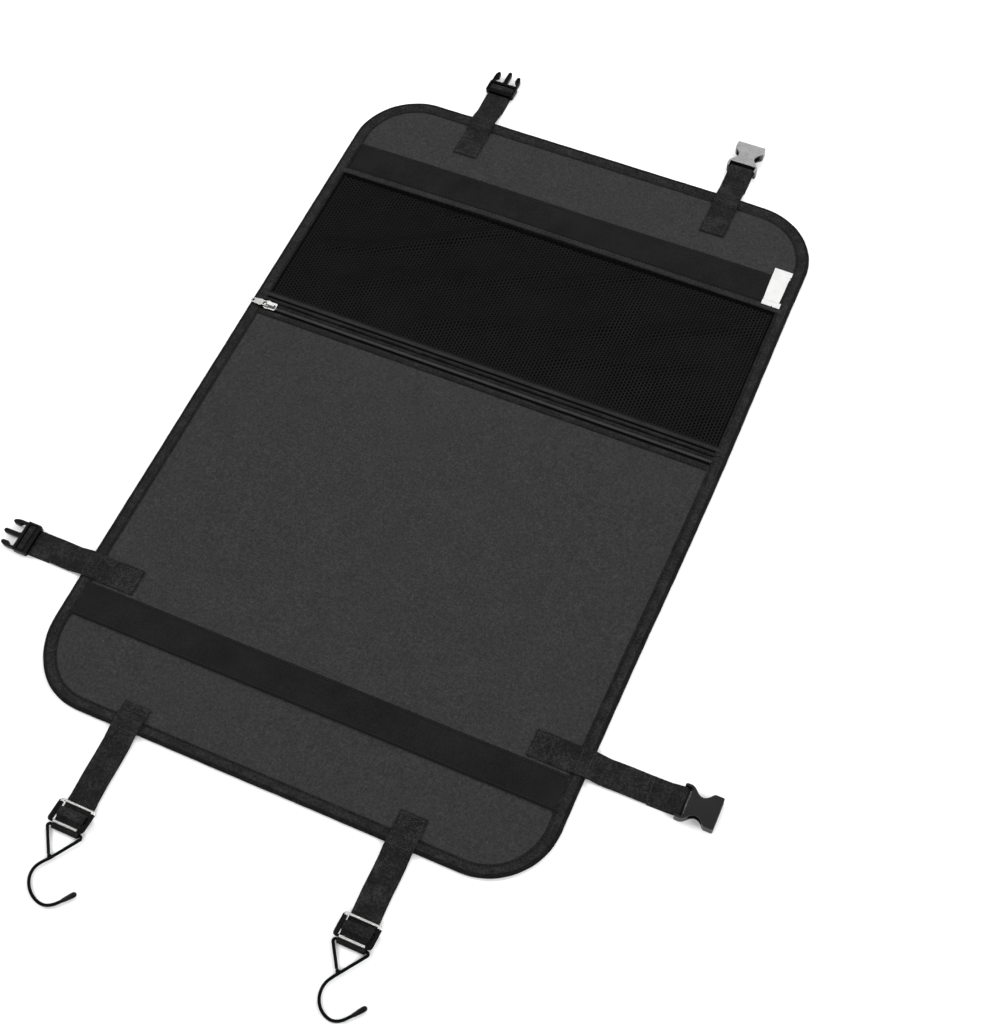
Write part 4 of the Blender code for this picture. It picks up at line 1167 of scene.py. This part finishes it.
def tube(points, radii, sides):
    """Rings of points round a line, without twist."""
    p = np.array(points, float)
    tangent = np.gradient(p, axis=0)
    tangent /= np.linalg.norm(tangent, axis=1, keepdims=True)
    up = np.array([0.0, 0.0, 1.0])
    turn = 2 * math.pi * np.arange(sides) / sides
    rings = []
    for c, t, r in zip(p, tangent, radii):
        side = np.cross(t, up)
        side /= np.linalg.norm(side)
        top = np.cross(side, t)
        rings.append(c + r * (np.cos(turn)[:, None] * side + np.sin(turn)[:, None] * top))
    return np.array(rings)


def capped(stations):
    n, m = stations.shape[:2]
    return sweep(stations, ring=True).tolist() + [list(range(m))[::-1], [(n - 1) * m + i for i in range(m)]]


def hook(side, x, axis_y):
    shape = HOOK_PLAN[side]
    tip = shape[2]
    apex = tip[1]
    plan = filleted([(tip[0] - 2.7, apex + 2.4), shape[0], shape[1], tip], 1.8, 10)
    bend = shape[2:]
    curve = spline(bend, 7)
    lean = math.asin((HOOK_Z - CAP_R) / 41.0)

    def lay(points):
        return [(x + px, axis_y + py * math.cos(lean), HOOK_Z + py * math.sin(lean)) for px, py in points]

    whole = resampled(plan[:-1] + curve, 2.4)
    stations = tube(lay(whole), [WIRE_R] * len(whole), 16)
    body = "hook_" + side
    made = make("wire_" + body, stations.reshape(-1, 3), capped(stations), WIRE, body=body, node=body,
                lie=False, sharp=60)

    # the bead where the wire's end is welded at the apex
    bead = tube(lay([(-0.9 - 1.1 * math.cos(a) * 0.9, apex + 0.9 + 1.5 * math.cos(a)) for a in np.linspace(0.25, 2.9, 7)]),
                [1.05, 1.5, 1.68, 1.72, 1.66, 1.45, 1.0], 12)
    make("weld_" + body, bead.reshape(-1, 3), capped(bead), WIRE, body=body, lie=False, sharp=70)

    # dipped cap on the end, a little swollen toward its round tip
    path = np.array(spline(bend[-4:], 12))
    seg = np.concatenate([[0], np.cumsum(np.linalg.norm(np.diff(path, axis=0), axis=1))])
    start, end = seg[-1] - 11.0, seg[-1] + 1.2
    away = (path[-1] - path[-2]) / np.linalg.norm(path[-1] - path[-2])
    line, radii = [], []
    for k in range(30):
        t = k / 29
        s = start + (end - start) * (1 - (1 - t) ** 1.6)
        if s <= seg[-1]:
            line.append((np.interp(s, seg, path[:, 0]), np.interp(s, seg, path[:, 1])))
        else:
            line.append(tuple(path[-1] + away * (s - seg[-1])))
        u = (s - start) / (end - start)
        body_r = 1.62 + 0.55 * smooth01(np.array(u * 1.4))
        lip = math.sqrt(max(0.0, 1 - (1 - min(u / 0.05, 1.0)) ** 2)) * 0.18 + 0.82
        tip = math.sqrt(max(0.02, 1 - max(0.0, (u - 0.80) / 0.20) ** 2))
        radii.append(float(body_r) * lip * tip)
    stations = tube(lay(line), radii, 18)
    make("cap_" + body, stations.reshape(-1, 3), capped(stations), CAP, body=body, node="hook_tip_" + side,
         lie=False, sharp=80)


hook("left", BOTTOM_LEFT_X, HOOK_AXIS["left"])
hook("right", BOTTOM_RIGHT_X, HOOK_AXIS["right"])

# ------------------------------------------------------------------ metal slides
def slide(side, x, top, reach_left):
    """Three bars of drawn wire, the outer two running on into the sides."""
    c, cz = slide_middle(top)
    side_w = 1.95
    half_w, half_l = SLIDE_W / 2 - side_w, SLIDE_L / 2 - 1.15
    r = 2.2
    loop = []
    for cx, cy, a0 in ((half_w - r, half_l - r, 0), (-half_w + r, half_l - r, 90), (-half_w + r, -half_l + r, 180),
                       (half_w - r, -half_l + r, 270)):
        loop += arc(cx, cy, r, a0, a0 + 90, 10)
    loop = resampled(loop + loop[:1], 1.6)[:-1]
    turn = 2 * math.pi * np.arange(18) / 18
    flat_z, flat_w = 1.08 * np.sign(np.sin(turn)) * np.abs(np.sin(turn)) ** 0.85, np.cos(turn)

    def bent(points):
        p = np.asarray(points, float)
        y, z = p[..., 1], p[..., 2]
        ca, sa = math.cos(SLIDE_TILT), math.sin(SLIDE_TILT)
        return np.stack([x + p[..., 0], c + y * ca + z * sa, cz - y * sa + z * ca], -1)

    ahead = np.roll(loop, -1, 0) - np.roll(loop, 1, 0)
    ahead /= np.linalg.norm(ahead, axis=1, keepdims=True)
    out = np.column_stack([ahead[:, 1], -ahead[:, 0]])
    on_side = smooth01((np.abs(out[:, 0]) - 0.15) / 0.7)
    width = 1.12 + (side_w - 1.12) * on_side
    # each side reaches in to the webbing's edge
    reach = on_side * np.where(out[:, 0] < 0, reach_left, 0.30)
    ring = np.stack(
        [
            loop[:, None, 0] + out[:, None, 0] * np.where(flat_w < 0, width[:, None] + reach[:, None], width[:, None]) * flat_w,
            loop[:, None, 1] + out[:, None, 1] * width[:, None] * flat_w,
            np.broadcast_to(flat_z, (len(loop), 18)),
        ],
        -1,
    )
    faces = sweep(ring, ring=True, closed=True).tolist()
    xs = np.linspace(-half_w - 0.2, half_w + 0.2, 25)
    bar = np.stack([np.broadcast_to(xs[:, None], (25, 18)), np.broadcast_to(1.45 * flat_w, (25, 18)),
                    np.broadcast_to(flat_z * 0.97, (25, 18))], -1)
    offset = ring.shape[0] * 18
    faces += [[v + offset for v in f] for f in capped(bar)]
    verts = np.concatenate([bent(ring).reshape(-1, 3), bent(bar).reshape(-1, 3)])

    def painted_dark_sides(px, py, pz):
        """The sides below the top corners are painted near black, a painted dark reflection of the surroundings."""
        reach_in = 2.9 if py > top - 12.0 else 4.0
        return int(abs(px - x) > half_w - reach_in and (py < top - 3.2 or px < x - half_w and py < top - 2.4))

    make("slide_" + side, verts, faces, NICKEL_SATIN, node="strap_slide_" + side, lie=False, sharp=60,
         others=[NICKEL_DARK_REFLECTION], pick=painted_dark_sides)


slide("left", BOTTOM_LEFT_X - 0.4, SLIDE_TOP["left"], 0.75)
slide("right", BOTTOM_RIGHT_X, SLIDE_TOP["right"], 0.40)

# ------------------------------------------------------------------ hardware that keeps its construction mesh
for node, mat, width in (
    ("buckle_male_top", PLASTIC_DULL, 0.25),
    ("buckle_male_side", PLASTIC_DULL, 0.25),
    ("buckle_female_top", PLASTIC, 0.0),
    ("buckle_female_side", PLASTIC_SATIN, 0.0),
    ("zipper_slider", NICKEL_BODY, 0.0),
    ("zipper_pull", NICKEL, 0.0),
):
    obj = NODES[node]
    obj.data.materials.clear()
    obj.data.materials.append(mat)
    if width:
        mod = obj.modifiers.new("edges", "BEVEL")
        mod.width = width * MM
        mod.segments = 2
        mod.limit_method = "ANGLE"
        mod.angle_limit = math.radians(50)
    elif mat in (PLASTIC, PLASTIC_SATIN):
        mod = obj.modifiers.new("flat_faces", "WEIGHTED_NORMAL")
        mod.weight = 100
        mod.keep_sharp = True

# ------------------------------------------------------------------ stage, light and camera
floor_mesh = bpy.data.meshes.new("floor")
floor_mesh.from_pydata([(-6, -6, -0.0002), (6, -6, -0.0002), (6, 6, -0.0002), (-6, 6, -0.0002)], [], [(0, 1, 2, 3)])
floor = bpy.data.objects.new("floor", floor_mesh)
bpy.context.scene.collection.objects.link(floor)
paper = Look("floor_paper", (0.90, 0.90, 0.90), 0.9, specular=0.2)
paper.set("Base Color", paper.ramp(paper.noise(paper.coords(), 3.0, 2.0), (0.3, grey(0.895)), (0.7, grey(0.905))))
floor_mesh.materials.append(paper.mat)

world = bpy.data.worlds.new("studio")
bpy.context.scene.world = world
world.use_nodes = True
world.node_tree.nodes["Background"].inputs["Color"].default_value = (0.98, 0.99, 1.0, 1.0)
world.node_tree.nodes["Background"].inputs["Strength"].default_value = 0.30


def area(name, where, at, size, power):
    light = bpy.data.lights.new(name, "AREA")
    light.shape = "RECTANGLE"
    light.size, light.size_y = size
    light.energy = power
    obj = bpy.data.objects.new(name, light)
    obj.location = where
    obj.rotation_euler = (Vector(at) - Vector(where)).to_track_quat("-Z", "Y").to_euler()
    bpy.context.scene.collection.objects.link(obj)
    return obj


area("key", (-2.4, 0.1, 2.2), (0.0, 0.0, 0.0), (1.2, 1.5), 62.0)
area("fill", (2.6, -0.2, 2.3), (0.1, 0.0, 0.0), (1.5, 1.5), 50.0)
area("front", (0.2, -2.6, 2.4), (0.1, 0.0, 0.0), (1.8, 1.2), 46.0)
area("back", (1.6, 2.3, 2.3), (0.1, 0.1, 0.0), (1.5, 1.2), 46.0)
area("box_over", (-0.20, 1.72, 1.5), (0.0, 0.35, 0.0), (0.55, 0.42), 10.5)
area("glint_left", (-1.02, 0.99, 1.5), (-0.23, 0.11, 0.0), (0.32, 0.28), 0.85)
area("glint_right", (0.14, 0.43, 1.5), (0.31, -0.185, 0.0), (0.24, 0.20), 2.2)

cam_data = bpy.data.cameras.new("camera")
cam_data.sensor_width = 36.0
cam_data.lens = 36.0 * 1668.78 / 1024
cam_data.clip_start, cam_data.clip_end = 0.05, 50.0
camera = bpy.data.objects.new("camera", cam_data)
camera.matrix_world = (
    Matrix.Translation((0.38730, -0.61206, 1.24242))
    @ Matrix.Rotation(math.radians(28.065), 4, "Z")
    @ Matrix.Rotation(math.radians(29.061), 4, "X")
    @ Matrix.Rotation(math.radians(-4.716), 4, "Z")
)
bpy.context.scene.collection.objects.link(camera)
bpy.context.scene.camera = camera
bpy.context.scene.view_settings.view_transform = "Standard"
bpy.context.scene.view_settings.look = "None"
